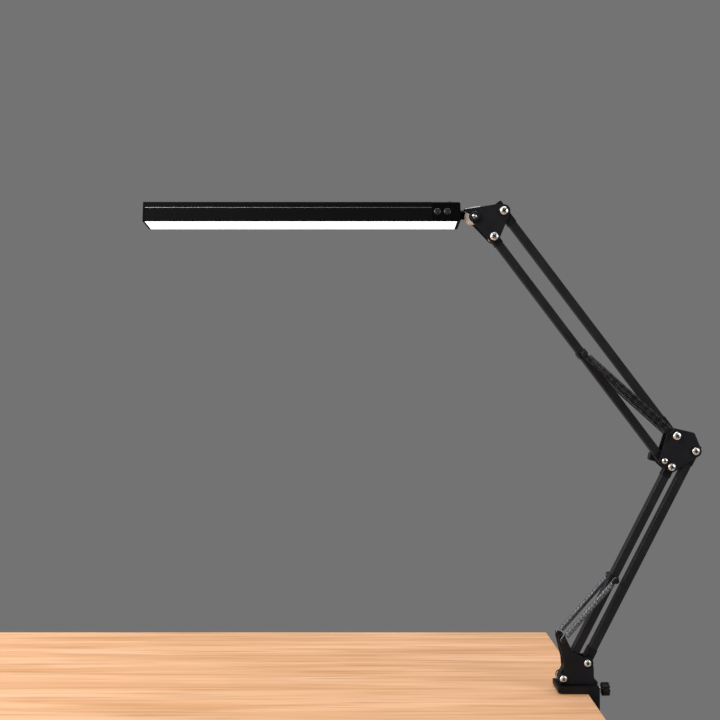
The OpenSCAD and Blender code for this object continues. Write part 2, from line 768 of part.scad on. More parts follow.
module control_housing() {
    inner = half_depth - bar_wall;
    color(black) on_bar() difference() {
        along_bar(control_x, 0) soft_rect([-half_depth, bar_low], [half_depth, bar_top], 2);
        along_bar(control_x - 1, -end_wall) translate([-inner, bar_low - 1])
            square([2 * inner, bar_h - bar_wall + 1]);
        along_bar(control_x - 1, -end_wall) translate([-inner - 0.6, bar_low + 0.8])
            square([2 * inner + 1.2, 1.2 + run_gap]);
        for (i = [0, 1]) translate([button_x - i * button_pitch, 0, bar_mid])
            bar_y(button_d / 2 + run_gap * 2, -half_depth - 1, -half_depth + bar_wall + 1);
        bar_along_x(spindle_r + run_gap, -end_wall - 1, 1);
        translate([screw_at.x, screw_at.y, bar_top - bar_wall - 1])
            cylinder(r = 1.2 + run_gap, h = bar_wall + 2);
    }
}

module diffuser() {
    inner = half_depth - bar_wall - run_gap;
    color("#fbfbf8") on_bar() along_bar(-bar_len + end_cap_t + 0.2, -lens_rim) {
        translate([-inner, bar_low]) square([2 * inner, diffuser_t]);
        translate([-inner - 0.5, bar_low + 0.85]) square([2 * inner + 1, 1.1]);
    }
}

module led_board() {
    inner = half_depth - bar_wall - run_gap;
    color("#e6e6e0") on_bar() along_bar(-bar_len + end_cap_t + board_inset, control_x - 1)
        translate([-inner, board_z]) square([2 * inner, board_t]);
}

module leds() {
    first = -bar_len + end_cap_t + board_inset + led_inset;
    pitch = (control_x - 1 - led_inset - first) / (led_count - 1);
    color("#f3e9a8") on_bar() for (i = [0 : led_count - 1], y = [-half_depth * 0.4, half_depth * 0.4])
        translate([first + i * pitch - 1.4, y - 1.75, board_z - 0.8]) cube([2.8, 3.5, 0.8]);
}

module control_board() {
    board_y = -half_depth + 9;
    color("#1f6b43") on_bar() {
        translate([control_x + 2, board_y, bar_mid - 7.5]) cube([control_len - end_wall - 3, board_t, 15]);
        for (i = [0, 1]) translate([button_x - i * button_pitch - 3, board_y - 3.5, bar_mid - 3])
            cube([6, 3.51, 6]);
    }
}

module bar_screws() {
    color(satin) on_bar() {
        translate([screw_at.x, screw_at.y, bar_top - bar_wall - 3]) cylinder(r = 1.2, h = bar_wall + 3.01);
        translate([screw_at.x, screw_at.y, bar_top]) cylinder(r = 2, h = 1.4);
    }
}

module button(i) {
    back = -half_depth + bar_wall;
    color(satin) on_bar() translate([button_x - i * button_pitch, 0, bar_mid]) {
        bar_y(button_d / 2, -half_depth - button_proud, back + run_gap + 0.4);
        bar_y(button_d / 2 + 0.9, back + run_gap, back + 1);
        bar_y(1.5, back + 0.99, -half_depth + 5.4 - button_travel);
    }
}
module power_button() { button(0); }
module brightness_button() { button(1); }

clamp_frame();
jaw_pad();
swivel_washer();
clamp_screw();
clamp_knob();
pressure_plate();
pressure_pad();
lock_tip();
lock_screw();
lock_knob();
base_bracket();
swivel_post();
base_pivot_bolts();
base_pivot_nuts();
base_washers();
spring_anchor_pins();
lower_rear_tube();
lower_rear_ends();
lower_front_tube();
lower_front_ends();
lower_spring_clip();
lower_spring_near();
lower_spring_far();
elbow_front_plate();
elbow_rear_plate();
elbow_spacer();
elbow_bolts();
elbow_nuts();
elbow_washers();
elbow_spring_bolt();
elbow_friction_bolt();
elbow_wing_nut();
upper_top_tube();
upper_top_ends();
upper_bottom_tube();
upper_bottom_ends();
upper_spring_clip();
upper_spring_near();
upper_spring_far();
head_front_plate();
head_rear_plate();
head_bolts();
head_nuts();
head_washers();
tilt_knob();
tilt_bolt();
head_yoke();
roll_spindle();
neck_collar();
bar_housing();
bar_end_cap();
control_housing();
diffuser();
led_board();
leds();
control_board();
bar_screws();
power_button();
brightness_button();
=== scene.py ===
"""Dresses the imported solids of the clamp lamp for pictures.

Sizes are in millimetres until a mesh is made, and every place is one of the part's own source.
"""

import logging
import math
from dataclasses import dataclass, field
from enum import Enum

import bmesh
import bpy
from mathutils import Euler, Matrix, Vector


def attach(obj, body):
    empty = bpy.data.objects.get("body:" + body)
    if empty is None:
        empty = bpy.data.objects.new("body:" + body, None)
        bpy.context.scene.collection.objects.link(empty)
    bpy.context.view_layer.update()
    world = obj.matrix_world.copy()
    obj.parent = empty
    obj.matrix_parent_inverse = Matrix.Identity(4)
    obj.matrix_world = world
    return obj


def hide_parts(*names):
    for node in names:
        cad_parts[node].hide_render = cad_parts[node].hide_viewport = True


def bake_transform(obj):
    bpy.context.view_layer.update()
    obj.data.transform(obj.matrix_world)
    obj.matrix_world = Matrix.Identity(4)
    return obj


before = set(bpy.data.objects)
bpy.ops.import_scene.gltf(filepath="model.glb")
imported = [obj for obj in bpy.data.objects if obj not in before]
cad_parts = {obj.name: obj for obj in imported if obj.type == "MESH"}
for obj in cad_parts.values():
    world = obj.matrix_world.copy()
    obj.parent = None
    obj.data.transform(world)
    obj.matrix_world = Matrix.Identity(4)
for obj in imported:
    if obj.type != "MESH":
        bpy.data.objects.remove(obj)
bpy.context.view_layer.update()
LOG = logging.getLogger("clamp lamp")
MM = 0.001

Mesh = bpy.types.Mesh
Piece = bpy.types.Object
Socket = bpy.types.NodeSocket
Tree = bpy.types.NodeTree
Point = tuple[float, float]
Profile = list[Point]


def linear(colour: str) -> tuple[float, float, float, float]:
    """Turns an sRGB hex colour into the linear colour that a shader takes.

    Args:
        colour: Hash sign and six hex digits.

    Returns:
        Red, green, blue and full opacity.
    """
    parts = [int(colour[i : i + 2], 16) / 255 for i in (1, 3, 5)]
    shades = [c / 12.92 if c <= 0.04045 else ((c + 0.055) / 1.055) ** 2.4 for c in parts]
    return (*shades, 1.0)


def add(tree: Tree, kind: str, inputs: dict | None = None, **settings: object) -> bpy.types.Node:
    """Adds a node to a tree, with its settings, values and links.

    Args:
        tree: Tree that the node goes into.
        kind: Blender's type name of the node.
        inputs: Value of each input, or the socket that feeds it, by name or place.
        **settings: Properties of the node itself.

    Returns:
        The new node.
    """
    node = tree.nodes.new(kind)
    for label, value in settings.items():
        setattr(node, label, value)
    for label, value in (inputs or {}).items():
        if isinstance(value, Socket):
            tree.links.new(value, node.inputs[label])
        else:
            node.inputs[label].default_value = value
    return node


def scale(width: float) -> float:
    """Scale of a pattern that repeats over a width in mm."""
    return 1 / (width * MM)


@dataclass(frozen=True)
class Finish:
    """Surface of one real material, which each kind of finish adds its own layers to."""

    name: str
    colour: str
    roughness: float
    metallic: float = 0.0
    specular: float = 0.5

    def layers(self, tree: Tree, place: Socket) -> dict:
        """Gives the shader inputs that vary over the surface or stand apart from the common ones.

        Args:
            tree: The material's node tree.
            place: Object coordinates, in metres.

        Returns:
            Value or socket of each shader input.
        """
        raise NotImplementedError

    def skin(
        self,
        tree: Tree,
        pattern: Socket,
        tint: tuple[Socket, str],
        spread: tuple[float, float],
        relief: tuple[Socket, float, float],
    ) -> dict:
        """Tints, dulls and raises the surface by its patterns.

        Args:
            tree: The material's node tree.
            pattern: Pattern that dulls the surface where it is high.
            tint: Share of the second colour at each point, and that colour.
            spread: Steps from the finish's own roughness to its least and its most.
            relief: Height at each point, how strongly it shows, and its depth in mm.

        Returns:
            Socket of each shader input.
        """
        share, other = tint
        height, strength, depth = relief
        least, most = (self.roughness + step for step in spread)
        tone = add(
            tree, "ShaderNodeMix", {0: share, 6: linear(self.colour), 7: linear(other)}, data_type="RGBA"
        )
        # Nearly all of a noise lies between 0.3 and 0.7
        dull = add(tree, "ShaderNodeMapRange", {0: pattern, 1: 0.3, 2: 0.7, 3: least, 4: most})
        bump = add(tree, "ShaderNodeBump", {"Strength": strength, "Distance": depth * MM, "Height": height})
        return {"Base Color": tone.outputs[2], "Roughness": dull.outputs[0], "Normal": bump.outputs[0]}

    def material(self) -> bpy.types.Material:
        """Makes the material once and gives it again after that.

        Returns:
            Blender's material of this finish.
        """
        made = bpy.data.materials.get(self.name)
        if made:
            return made
        made = bpy.data.materials.new(self.name)
        made.use_nodes = True
        made.diffuse_color = linear(self.colour)
        tree = made.node_tree
        tree.nodes.clear()
        place = add(tree, "ShaderNodeTexCoord").outputs["Object"]
        common = {
            "Base Color": linear(self.colour),
            "Metallic": self.metallic,
            "Roughness": self.roughness,
            "Specular IOR Level": self.specular,
        }
        shader = add(tree, "ShaderNodeBsdfPrincipled", common | self.layers(tree, place))
        add(tree, "ShaderNodeOutputMaterial", {"Surface": shader.outputs[0]})
        return made


@dataclass(frozen=True)
class PowderCoat(Finish):
    """Baked powder paint on steel: an even satin skin over a fine orange peel."""

    # The real peel is about 0.8 mm wide, and is drawn wider so that it shows
    peel: float = 1.6
    peel_depth: float = 0.012
    cloud: float = 26.0
    lighter: str = "#17171B"

    def layers(self, tree: Tree, place: Socket) -> dict:
        """Adds the peel, and clouds of slightly paler and duller paint.

        Args:
            tree: The material's node tree.
            place: Object coordinates, in metres.

        Returns:
            Value or socket of each shader input.
        """
        peel = add(tree, "ShaderNodeTexNoise", {"Vector": place, "Scale": scale(self.peel), "Detail": 1.5})
        cloud = add(tree, "ShaderNodeTexNoise", {"Vector": place, "Scale": scale(self.cloud), "Detail": 3.0})
        share = add(tree, "ShaderNodeMapRange", {0: cloud.outputs[0], 1: 0.35, 2: 0.75, 3: 0.0, 4: 1.0})
        tint = (share.outputs[0], self.lighter)
        return self.skin(tree, cloud.outputs[0], tint, (-0.04, 0.05), (peel.outputs[0], 0.5, self.peel_depth))


@dataclass(frozen=True)
class AnodisedAluminium(Finish):
    """Black anodised extrusion: a satin face with faint drawing lines along its length."""

    # Drawing lines are about 0.15 mm apart, and are drawn wider so that they show
    line: float = 0.5
    line_length: float = 60.0
    line_depth: float = 0.004
    lighter: str = "#161618"

    def layers(self, tree: Tree, place: Socket) -> dict:
        """Adds the drawing lines to the tone, the roughness and the bump.

        Args:
            tree: The material's node tree.
            place: Object coordinates, in metres.

        Returns:
            Value or socket of each shader input.
        """
        along = (self.line / self.line_length, 1, 1)
        drawn = add(tree, "ShaderNodeMapping", {"Vector": place, "Scale": along}).outputs[0]
        lines = add(tree, "ShaderNodeTexNoise", {"Vector": drawn, "Scale": scale(self.line), "Detail": 2.0})
        pattern = lines.outputs[0]
        tint = (pattern, self.lighter)
        return self.skin(tree, pattern, tint, (-0.05, 0.05), (pattern, 0.4, self.line_depth))


@dataclass(frozen=True)
class MouldedPlastic(Finish):
    """Injection-moulded plastic or rubber: a matt skin with the fine grain of an eroded mould."""

    # Mould grain is about 0.2 mm, and is drawn wider so that it shows
    grain: float = 0.6
    grain_depth: float = 0.015
    flow: float = 9.0
    lighter: str = "#121214"

    def layers(self, tree: Tree, place: Socket) -> dict:
        """Adds the grain as bump, and the plastic's flow to the tone and the roughness.

        Args:
            tree: The material's node tree.
            place: Object coordinates, in metres.

        Returns:
            Value or socket of each shader input.
        """
        cells = add(tree, "ShaderNodeTexVoronoi", {"Vector": place, "Scale": scale(self.grain)})
        flow = add(tree, "ShaderNodeTexNoise", {"Vector": place, "Scale": scale(self.flow), "Detail": 4.0})
        relief = (cells.outputs["Distance"], 0.35, self.grain_depth)
        return self.skin(tree, flow.outputs[0], (flow.outputs[0], self.lighter), (-0.05, 0.06), relief)


@dataclass(frozen=True)
class PlatedSteel(Finish):
    """Nickel, zinc or bare spring steel: a bright metal with tool marks and thin handling stains."""

    # Tool marks are about 0.1 mm wide, and are drawn wider so that they show
    mark: float = 0.35
    mark_depth: float = 0.003
    stain: float = 3.0
    duller: str = "#8D8F92"

    def layers(self, tree: Tree, place: Socket) -> dict:
        """Adds the tool marks as bump, and the stains to the tone and the roughness.

        Args:
            tree: The material's node tree.
            place: Object coordinates, in metres.

        Returns:
            Value or socket of each shader input.
        """
        marks = add(tree, "ShaderNodeTexNoise", {"Vector": place, "Scale": scale(self.mark), "Detail": 2.0})
        stains = add(tree, "ShaderNodeTexNoise", {"Vector": place, "Scale": scale(self.stain), "Detail": 4.0})
        share = add(tree, "ShaderNodeMapRange", {0: stains.outputs[0], 1: 0.48, 2: 0.78, 3: 0.0, 4: 0.8})
        tint, relief = (share.outputs[0], self.duller), (marks.outputs[0], 0.5, self.mark_depth)
        return self.skin(tree, stains.outputs[0], tint, (-0.05, 0.09), relief)


@dataclass(frozen=True)
class TurnedSteel(Finish):
    """Coned end of a plated bolt, with the rings that the lathe left in it."""

    # Feed marks are about 0.1 mm apart, and are drawn wider so that they show
    ring: float = 0.35
    ring_depth: float = 0.02
    centre: tuple[float, float, float] = (0.0, 0.0, 0.0)

    def layers(self, tree: Tree, place: Socket) -> dict:
        """Adds rings about the bolt's own centre.

        Args:
            tree: The material's node tree.
            place: Object coordinates, in metres.

        Returns:
            Value or socket of each shader input.
        """
        back = [-x * MM for x in self.centre]
        centred = add(tree, "ShaderNodeMapping", {"Vector": place, "Location": back})
        # A wave texture of scale 1 has its rings 0.314 apart
        rings = add(
            tree,
            "ShaderNodeTexWave",
            {"Vector": centred.outputs[0], "Scale": 0.314 * scale(self.ring), "Distortion": 0.4},
            wave_type="RINGS",
            rings_direction="Y",
        ).outputs["Fac"]
        depth = self.ring_depth * MM
        bump = add(tree, "ShaderNodeBump", {"Strength": 0.6, "Distance": depth, "Height": rings})
        least, most = self.roughness - 0.04, self.roughness + 0.06
        dull = add(tree, "ShaderNodeMapRange", {0: rings, 1: 0.0, 2: 1.0, 3: least, 4: most})
        return {"Roughness": dull.outputs[0], "Normal": bump.outputs[0]}


@dataclass(frozen=True)
class OpalAcrylic(Finish):
    """Opal acrylic, lit from behind: an even white face with hardly a shade in it."""

    frost: float = 0.8
    frost_depth: float = 0.01
    cloud: float = 40.0
    darker: str = "#F2F3F2"
    glow: str = "#FBFCFF"
    strength: float = 1.15

    def layers(self, tree: Tree, place: Socket) -> dict:
        """Adds the lamp's light and the fine frosting of the face.

        Args:
            tree: The material's node tree.
            place: Object coordinates, in metres.

        Returns:
            Value or socket of each shader input.
        """
        frost = add(tree, "ShaderNodeTexNoise", {"Vector": place, "Scale": scale(self.frost), "Detail": 2.0})
        height, depth = frost.outputs[0], self.frost_depth * MM
        bump = add(tree, "ShaderNodeBump", {"Strength": 0.2, "Distance": depth, "Height": height})
        cloud = add(tree, "ShaderNodeTexNoise", {"Vector": place, "Scale": scale(self.cloud), "Detail": 1.0})
        shades = {0: cloud.outputs[0], 6: linear(self.colour), 7: linear(self.darker)}
        tone = add(tree, "ShaderNodeMix", shades, data_type="RGBA")
        return {
            "Base Color": tone.outputs[2],
            "Normal": bump.outputs[0],
            "Emission Color": linear(self.glow),
            "Emission Strength": self.strength,
        }


@dataclass(frozen=True)
class SolderMask(Finish):
    """Printed board: a glossy mask, with the slightly raised edges of the tracks under it."""

    track: float = 2.4
    track_depth: float = 0.03
    lighter: str = "#FFFFFF"

    def layers(self, tree: Tree, place: Socket) -> dict:
        """Adds square-edged tracks to the tone and the bump.

        Args:
            tree: The material's node tree.
            place: Object coordinates, in metres.

        Returns:
            Value or socket of each shader input.
        """
        mask, line = linear(self.colour), linear(self.lighter)
        # A brick texture of scale 1 has its rows 0.25 apart
        sizes = {"Scale": 0.25 * scale(self.track), "Mortar Size": 0.03, "Bias": 0.0}
        colours = {"Color1": mask, "Color2": mask, "Mortar": line}
        tracks = add(tree, "ShaderNodeTexBrick", {"Vector": place} | colours | sizes)
        height, depth = tracks.outputs["Fac"], self.track_depth * MM
        bump = add(tree, "ShaderNodeBump", {"Strength": 0.3, "Distance": depth, "Height": height})
        return {"Base Color": tracks.outputs["Color"], "Normal": bump.outputs[0]}


@dataclass(frozen=True)
class Phosphor(Finish):
    """Yellow phosphor gel of an LED: soft-edged grains in clear silicone."""

    grain: float = 0.3
    deeper: str = "#E9C65A"

    def layers(self, tree: Tree, place: Socket) -> dict:
        """Adds the grains to the tone.

        Args:
            tree: The material's node tree.
            place: Object coordinates, in metres.

        Returns:
            Value or socket of each shader input.
        """
        grains = add(tree, "ShaderNodeTexVoronoi", {"Vector": place, "Scale": scale(self.grain)})
        shades = {0: grains.outputs["Distance"], 6: linear(self.colour), 7: linear(self.deeper)}
        return {"Base Color": add(tree, "ShaderNodeMix", shades, data_type="RGBA").outputs[2]}


@dataclass(frozen=True)
class PaleWood(Finish):
    """Light oak veneer of the desk: long pale grain under a matt lacquer."""

    figure: float = 22.0
    darker: str = "#C08C5E"
    pore: float = 5.0
    streak: str = "#A87646"

    def layers(self, tree: Tree, place: Socket) -> dict:
        """Adds broad grain along the desk, and finer and longer pores over it.

        Args:
            tree: The material's node tree.
            place: Object coordinates, in metres.

        Returns:
            Value or socket of each shader input.
        """
        tone = linear(self.colour)
        # Stretch, scale and noise of each layer, where it starts and is full, how full, and its colour
        figure = (0.05, self.figure, {"Detail": 6.0, "Distortion": 0.6}, (0.35, 0.7, 0.9), self.darker)
        pores = (0.025, self.pore, {"Detail": 3.0}, (0.5, 0.68, 0.6), self.streak)
        for stretch, width, noise, (start, full, most), colour in (figure, pores):
            drawn = add(tree, "ShaderNodeMapping", {"Vector": place, "Scale": (stretch, 1, 1)}).outputs[0]
            grain = add(tree, "ShaderNodeTexNoise", {"Vector": drawn, "Scale": scale(width)} | noise)
            share = add(tree, "ShaderNodeMapRange", {0: grain.outputs[0], 1: start, 2: full, 3: 0.0, 4: most})
            shades = {0: share.outputs[0], 6: tone, 7: linear(colour)}
            tone = add(tree, "ShaderNodeMix", shades, data_type="RGBA").outputs[2]
        return {"Base Color": tone}


@dataclass(frozen=True)
class MattPaint(Finish):
    """Plain matt paint of the studio floor."""

    roller: float = 4.0
    roller_depth: float = 0.1

    def layers(self, tree: Tree, place: Socket) -> dict:
        """Adds a faint roller texture.

        Args:
            tree: The material's node tree.
            place: Object coordinates, in metres.

        Returns:
            Value or socket of each shader input.
        """
        nap = add(tree, "ShaderNodeTexNoise", {"Vector": place, "Scale": scale(self.roller), "Detail": 2.0})
        height, depth = nap.outputs[0], self.roller_depth * MM
        bump = add(tree, "ShaderNodeBump", {"Strength": 0.1, "Distance": depth, "Height": height})
        return {"Normal": bump.outputs[0]}


class Slot(Enum):
    """Material slots of the record."""

    CLAMP_PAINT = "clamp_paint"
    PAD_RUBBER = "pad_rubber"
    ZINC_STEEL = "zinc_steel"
    KNOB_PLASTIC = "knob_plastic"
    NYLON = "nylon"
    PLATE_PAINT = "plate_paint"
    BOLT_NICKEL = "bolt_nickel"
    TUBE_BLACK = "tube_black"
    FITTING_PLASTIC = "fitting_plastic"
    CLIP_STEEL = "clip_steel"
    SPRING_BRIGHT = "spring_bright"
    SPRING_BLACK = "spring_black"
    JOINT_METAL = "joint_metal"
    BAR_BLACK = "bar_black"
    END_PLASTIC = "end_plastic"
    OPAL = "opal"
    BOARD_WHITE = "board_white"
    LED_LENS = "led_lens"
    BOARD_GREEN = "board_green"
    TRIM_SCREW = "trim_screw"
    BUTTON_PLASTIC = "button_plastic"


FINISHES: dict[Slot, Finish] = {
    # Dull black with a coarse peel, as on a painted casting
    Slot.CLAMP_PAINT: PowderCoat(
        "powder coated cast clamp", "#08080A", 0.5, 0.0, 0.14, peel=2.2, peel_depth=0.03
    ),
    # Grey-black without any shine
    Slot.PAD_RUBBER: MouldedPlastic("moulded nitrile rubber", "#161616", 0.8, grain=0.9),
    # Cool, slightly hazy silver
    Slot.ZINC_STEEL: PlatedSteel("bright zinc plated steel", "#D6D8DA", 0.3, 1.0),
    # Satin black that picks up light on its edges
    Slot.KNOB_PLASTIC: MouldedPlastic("moulded black polypropylene", "#09090B", 0.42, 0.0, 0.25),
    # Milky off-white
    Slot.NYLON: MouldedPlastic("natural nylon", "#DAD6C8", 0.5, lighter="#E6E3D8"),
    # Even satin black with a trace of blue
    Slot.PLATE_PAINT: PowderCoat("powder coated steel sheet", "#0F0F14", 0.5, 0.0, 0.2, lighter="#16161C"),
    # Warm and bright, with soft reflections
    Slot.BOLT_NICKEL: PlatedSteel(
        "nickel plated steel", "#F1F0EC", 0.3, 1.0, mark_depth=0.001, duller="#D8D7D3"
    ),
    # Satin black, a little glossier than the plates
    Slot.TUBE_BLACK: PowderCoat(
        "powder coated steel tube", "#121214", 0.4, 0.0, 0.35, peel=1.2, peel_depth=0.006
    ),
    # Deep, nearly matt black
    Slot.FITTING_PLASTIC: MouldedPlastic("moulded black nylon", "#060608", 0.44, 0.0, 0.2),
    # Black enamel with a clear shine
    Slot.CLIP_STEEL: PowderCoat(
        "enamelled steel clip", "#0C0C0E", 0.35, 0.0, 0.4, peel=1.0, peel_depth=0.005
    ),
    # Mid grey, with a soft light on each turn of the coil
    Slot.SPRING_BRIGHT: PlatedSteel(
        "drawn spring steel", "#787B80", 0.42, 1.0, mark_depth=0.001, duller="#55585C"
    ),
    # Black, with a thin light on each turn of the coil
    Slot.SPRING_BLACK: PowderCoat(
        "enamelled spring steel", "#0A0A0C", 0.42, 0.0, 0.25, peel=1.0, peel_depth=0.002
    ),
    # Pale silver-white of a fresh casting
    Slot.JOINT_METAL: PlatedSteel("zinc plated cast yoke", "#FBFCFD", 0.34, 0.2, duller="#F0F2F4"),
    # Deep black metal with hardly a shine
    Slot.BAR_BLACK: AnodisedAluminium(
        "black anodised aluminium", "#060607", 0.55, 0.0, 0.05, lighter="#0B0B0D"
    ),
    # The darkest black of the lamp, even and dull
    Slot.END_PLASTIC: MouldedPlastic("moulded black ABS", "#030304", 0.5, 0.0, 0.04, lighter="#060607"),
    # Even glowing white
    Slot.OPAL: OpalAcrylic("opal acrylic", "#FAFAF8", 0.45),
    # Glossy white, with the tracks just showing
    Slot.BOARD_WHITE: SolderMask("white solder mask", "#ECECE8", 0.3),
    # Warm yellow, as if wet
    Slot.LED_LENS: Phosphor("LED phosphor", "#F3DC86", 0.35),
    # Glossy green, with paler tracks
    Slot.BOARD_GREEN: SolderMask("green solder mask", "#1B5E3B", 0.3, lighter="#2F7F55"),
    # Dark grey metal
    Slot.TRIM_SCREW: PlatedSteel("blackened steel screw", "#3A3A3D", 0.35, 0.9, duller="#222224"),
    # Smooth dark grey that stands out a little from the housing
    Slot.BUTTON_PLASTIC: MouldedPlastic(
        "moulded satin ABS", "#1A1A1D", 0.3, grain=0.3, grain_depth=0.004, lighter="#242428"
    ),
}
# Thin silver-grey strip on the dark bar, a painted highlight line along each side's groove
PAINTED_HIGHLIGHT_LINE = PlatedSteel("painted highlight line", "#A0A2A6", 0.4, 1.0)
# Painted shade in a cross recess, over a dull metal
CROSS_PAINTED_SHADE = PlatedSteel("painted shade of cross recess", "#1C1C1E", 0.6, 0.5, duller="#101012")


def ray(slope: float) -> Vector:
    """Unit vector at a slope in degrees, with X and Z of the lamp's plane as its two parts."""
    return Vector((math.cos(math.radians(slope)), math.sin(math.radians(slope))))


@dataclass(frozen=True)
class Places:
    """Joint places in the lamp's middle plane, and depths from it, as the part's source has them."""

    base_rear: Vector = field(default_factory=lambda: Vector((18.75, 36.9)))
    base_gap: float = 36.6
    base_slope: float = 33.2
    anchor_step: tuple[float, float] = (-1.6, 51.0)
    lower_slope: float = 62.9
    lower_len: float = 302.0
    lower_pin_at: float = 142.0
    elbow_step: tuple[float, float] = (-8.8, 7.7)
    elbow_gap: float = 34.8
    elbow_slope: float = 69.3
    upper_slope: float = 127.2
    upper_len: float = 358.0
    upper_pin_at: float = 171.0
    tilt_step: tuple[float, float] = (-37.5, -7.2)
    bar_step: tuple[float, float] = (-18.6, 3.0)
    bar_roll: float = -8.0
    plate_out: float = 8.5
    cheek_out: float = 9.0
    hook_y: float = 14.6
    pin_reach: float = 17.6

    @property
    def base_front(self) -> Vector:
        """Front pivot of the base bracket."""
        return self.base_rear - self.base_gap * ray(self.base_slope)

    @property
    def anchor(self) -> Vector:
        """Pins of the lower springs in the base bracket."""
        return self.base_front + Vector(self.anchor_step)

    @property
    def elbow_rear(self) -> Vector:
        """Upper end of the lower arm's rear tube."""
        return self.base_rear + self.lower_len * ray(self.lower_slope)

    @property
    def elbow_front(self) -> Vector:
        """Upper end of the lower arm's front tube."""
        return self.base_front + self.lower_len * ray(self.lower_slope)

    @property
    def elbow_low(self) -> Vector:
        """Pivot of the upper arm's bottom tube in the elbow."""
        return self.elbow_front + Vector(self.elbow_step)

    @property
    def elbow_high(self) -> Vector:
        """Pivot of the upper arm's top tube in the elbow."""
        return self.elbow_low + self.elbow_gap * ray(self.elbow_slope)

    @property
    def head_low(self) -> Vector:
        """Upper end of the bottom tube."""
        return self.elbow_low + self.upper_len * ray(self.upper_slope)

    @property
    def head_high(self) -> Vector:
        """Upper end of the top tube."""
        return self.elbow_high + self.upper_len * ray(self.upper_slope)

    @property
    def lower_pin(self) -> Vector:
        """Pins of the lower springs on the front tube."""
        return self.base_front + self.lower_pin_at * ray(self.lower_slope)

    @property
    def upper_pin(self) -> Vector:
        """Pins of the upper springs on the bottom tube."""
        return self.elbow_low + self.upper_pin_at * ray(self.upper_slope)

    @property
    def tilt(self) -> Vector:
        """Pivot of the yoke in the head bracket."""
        return self.head_high + Vector(self.tilt_step)

    @property
    def bar(self) -> Matrix:
        """Axes of the light bar: X along it with 0 at its inner end, rolled about its neck."""
        across, up = self.bar_step
        place = Matrix.Translation((self.tilt.x + across, 0, self.tilt.y + up))
        return place @ Matrix.Rotation(math.radians(self.bar_roll), 4, "X")


LAMP = Places()
FORWARD = Matrix.Rotation(math.radians(90), 4, "X")
BACKWARD = Matrix.Rotation(math.radians(-90), 4, "X")
ALONG = Matrix.Rotation(math.radians(90), 4, "Y")
# Least angle of an edge that stays sharp on a machined piece, in degrees
MACHINED = 24.0
# How far a bolt reaches out of the plate behind it
BOLT_END = 5.0


def at(x: float, y: float, z: float) -> Matrix:
    """Matrix that moves to a place in millimetres."""
    return Matrix.Translation((x, y, z))


def placed(mesh: Mesh, matrix: Matrix) -> Mesh:
    """Moves a mesh to its place.

    Args:
        mesh: Mesh that is moved.
        matrix: Its new axes, with their place in mm.

    Returns:
        The same mesh.
    """
    scaled = matrix.copy()
    scaled.translation *= MM
    mesh.transform(scaled)
    mesh.update()
    return mesh


def mesh_of(shape: bmesh.types.BMesh, name: str) -> Mesh:
    """Makes a mesh of a bmesh and frees it.

    Args:
        shape: The bmesh.
        name: Name of the mesh.

    Returns:
        The new mesh.
    """
    mesh = bpy.data.meshes.new(name)
    shape.to_mesh(mesh)
    shape.free()
    return mesh


def closed(shape: bmesh.types.BMesh, name: str) -> Mesh:
    """Makes a mesh of a closed bmesh, with its faces outwards.

    Args:
        shape: The bmesh, with its sizes in mm.
        name: Name of the mesh.

    Returns:
        The new mesh, shaded smooth.
    """
    bmesh.ops.remove_doubles(shape, verts=shape.verts, dist=1e-4)
    bmesh.ops.recalc_face_normals(shape, faces=shape.faces)
    bmesh.ops.scale(shape, vec=(MM, MM, MM), verts=shape.verts)
    mesh = mesh_of(shape, name)
    mesh.shade_smooth()
    return mesh


def eased(profile: Profile, radius: float, steps: int = 3) -> Profile:
    """Rounds the inner corners of a profile.

    Args:
        profile: Points of the profile.
        radius: How far from a corner its curve starts, in mm.
        steps: Pieces of each curve.

    Returns:
        The profile with a short curve at each corner.
    """
    points = [Vector(p) for p in profile]
    made = [points[0]]
    for before, corner, after in zip(points, points[1:], points[2:]):
        reach = min(radius, (before - corner).length / 2.1, (after - corner).length / 2.1)
        start = corner + (before - corner).normalized() * reach
        stop = corner + (after - corner).normalized() * reach
        for i in range(steps + 1):
            t = i / steps
            made.append(start * (1 - t) ** 2 + corner * 2 * t * (1 - t) + stop * t**2)
    made.append(points[-1])
    return [(max(p.x, 0.0), p.y) for p in made]


def lathe(profile: Profile, segments: int = 48, ring: bool = False) -> Mesh:
    """Turns a profile about the Z axis.

    Args:
        profile: Radius and height of each point, in mm.
        segments: Faces round the axis.
        ring: Whether the last point joins the first, as on a washer.

    Returns:
        The closed mesh.
    """
    shape = bmesh.new()
    rows = []
    for radius, height in profile:
        count = segments if radius > 0 else 1
        turns = [2 * math.pi * i / count for i in range(count)]
        row = [shape.verts.new((radius * math.cos(a), radius * math.sin(a), height)) for a in turns]
        rows.append(row * (segments if count == 1 else 1))
    for low, high in zip(rows, rows[1:] + ([rows[0]] if ring else [])):
        for i in range(segments):
            j = (i + 1) % segments
            corners = list(dict.fromkeys([low[i], low[j], high[j], high[i]]))
            if len(corners) > 2:
                shape.faces.new(corners)
    return closed(shape, "turned")


def loft(bottom: Profile, low: float, top: Profile, high: float) -> Mesh:
    """Joins an outline to its match at another height.

    Args:
        bottom: Lower outline, in mm.
        low: Its height.
        top: Upper outline, with as many points.
        high: Its height.

    Returns:
        The closed mesh.
    """
    shape = bmesh.new()
    below = [shape.verts.new((x, y, low)) for x, y in bottom]
    above = [shape.verts.new((x, y, high)) for x, y in top]
    shape.faces.new(list(reversed(below)))
    shape.faces.new(above)
    for i in range(len(below)):
        j = (i + 1) % len(below)
        shape.faces.new([below[i], below[j], above[j], above[i]])
    return closed(shape, "lofted")


def prism(outline: Profile, low: float, high: float) -> Mesh:
    """Straight prism along Z over an outline, between two heights in mm."""
    return loft(outline, low, outline, high)


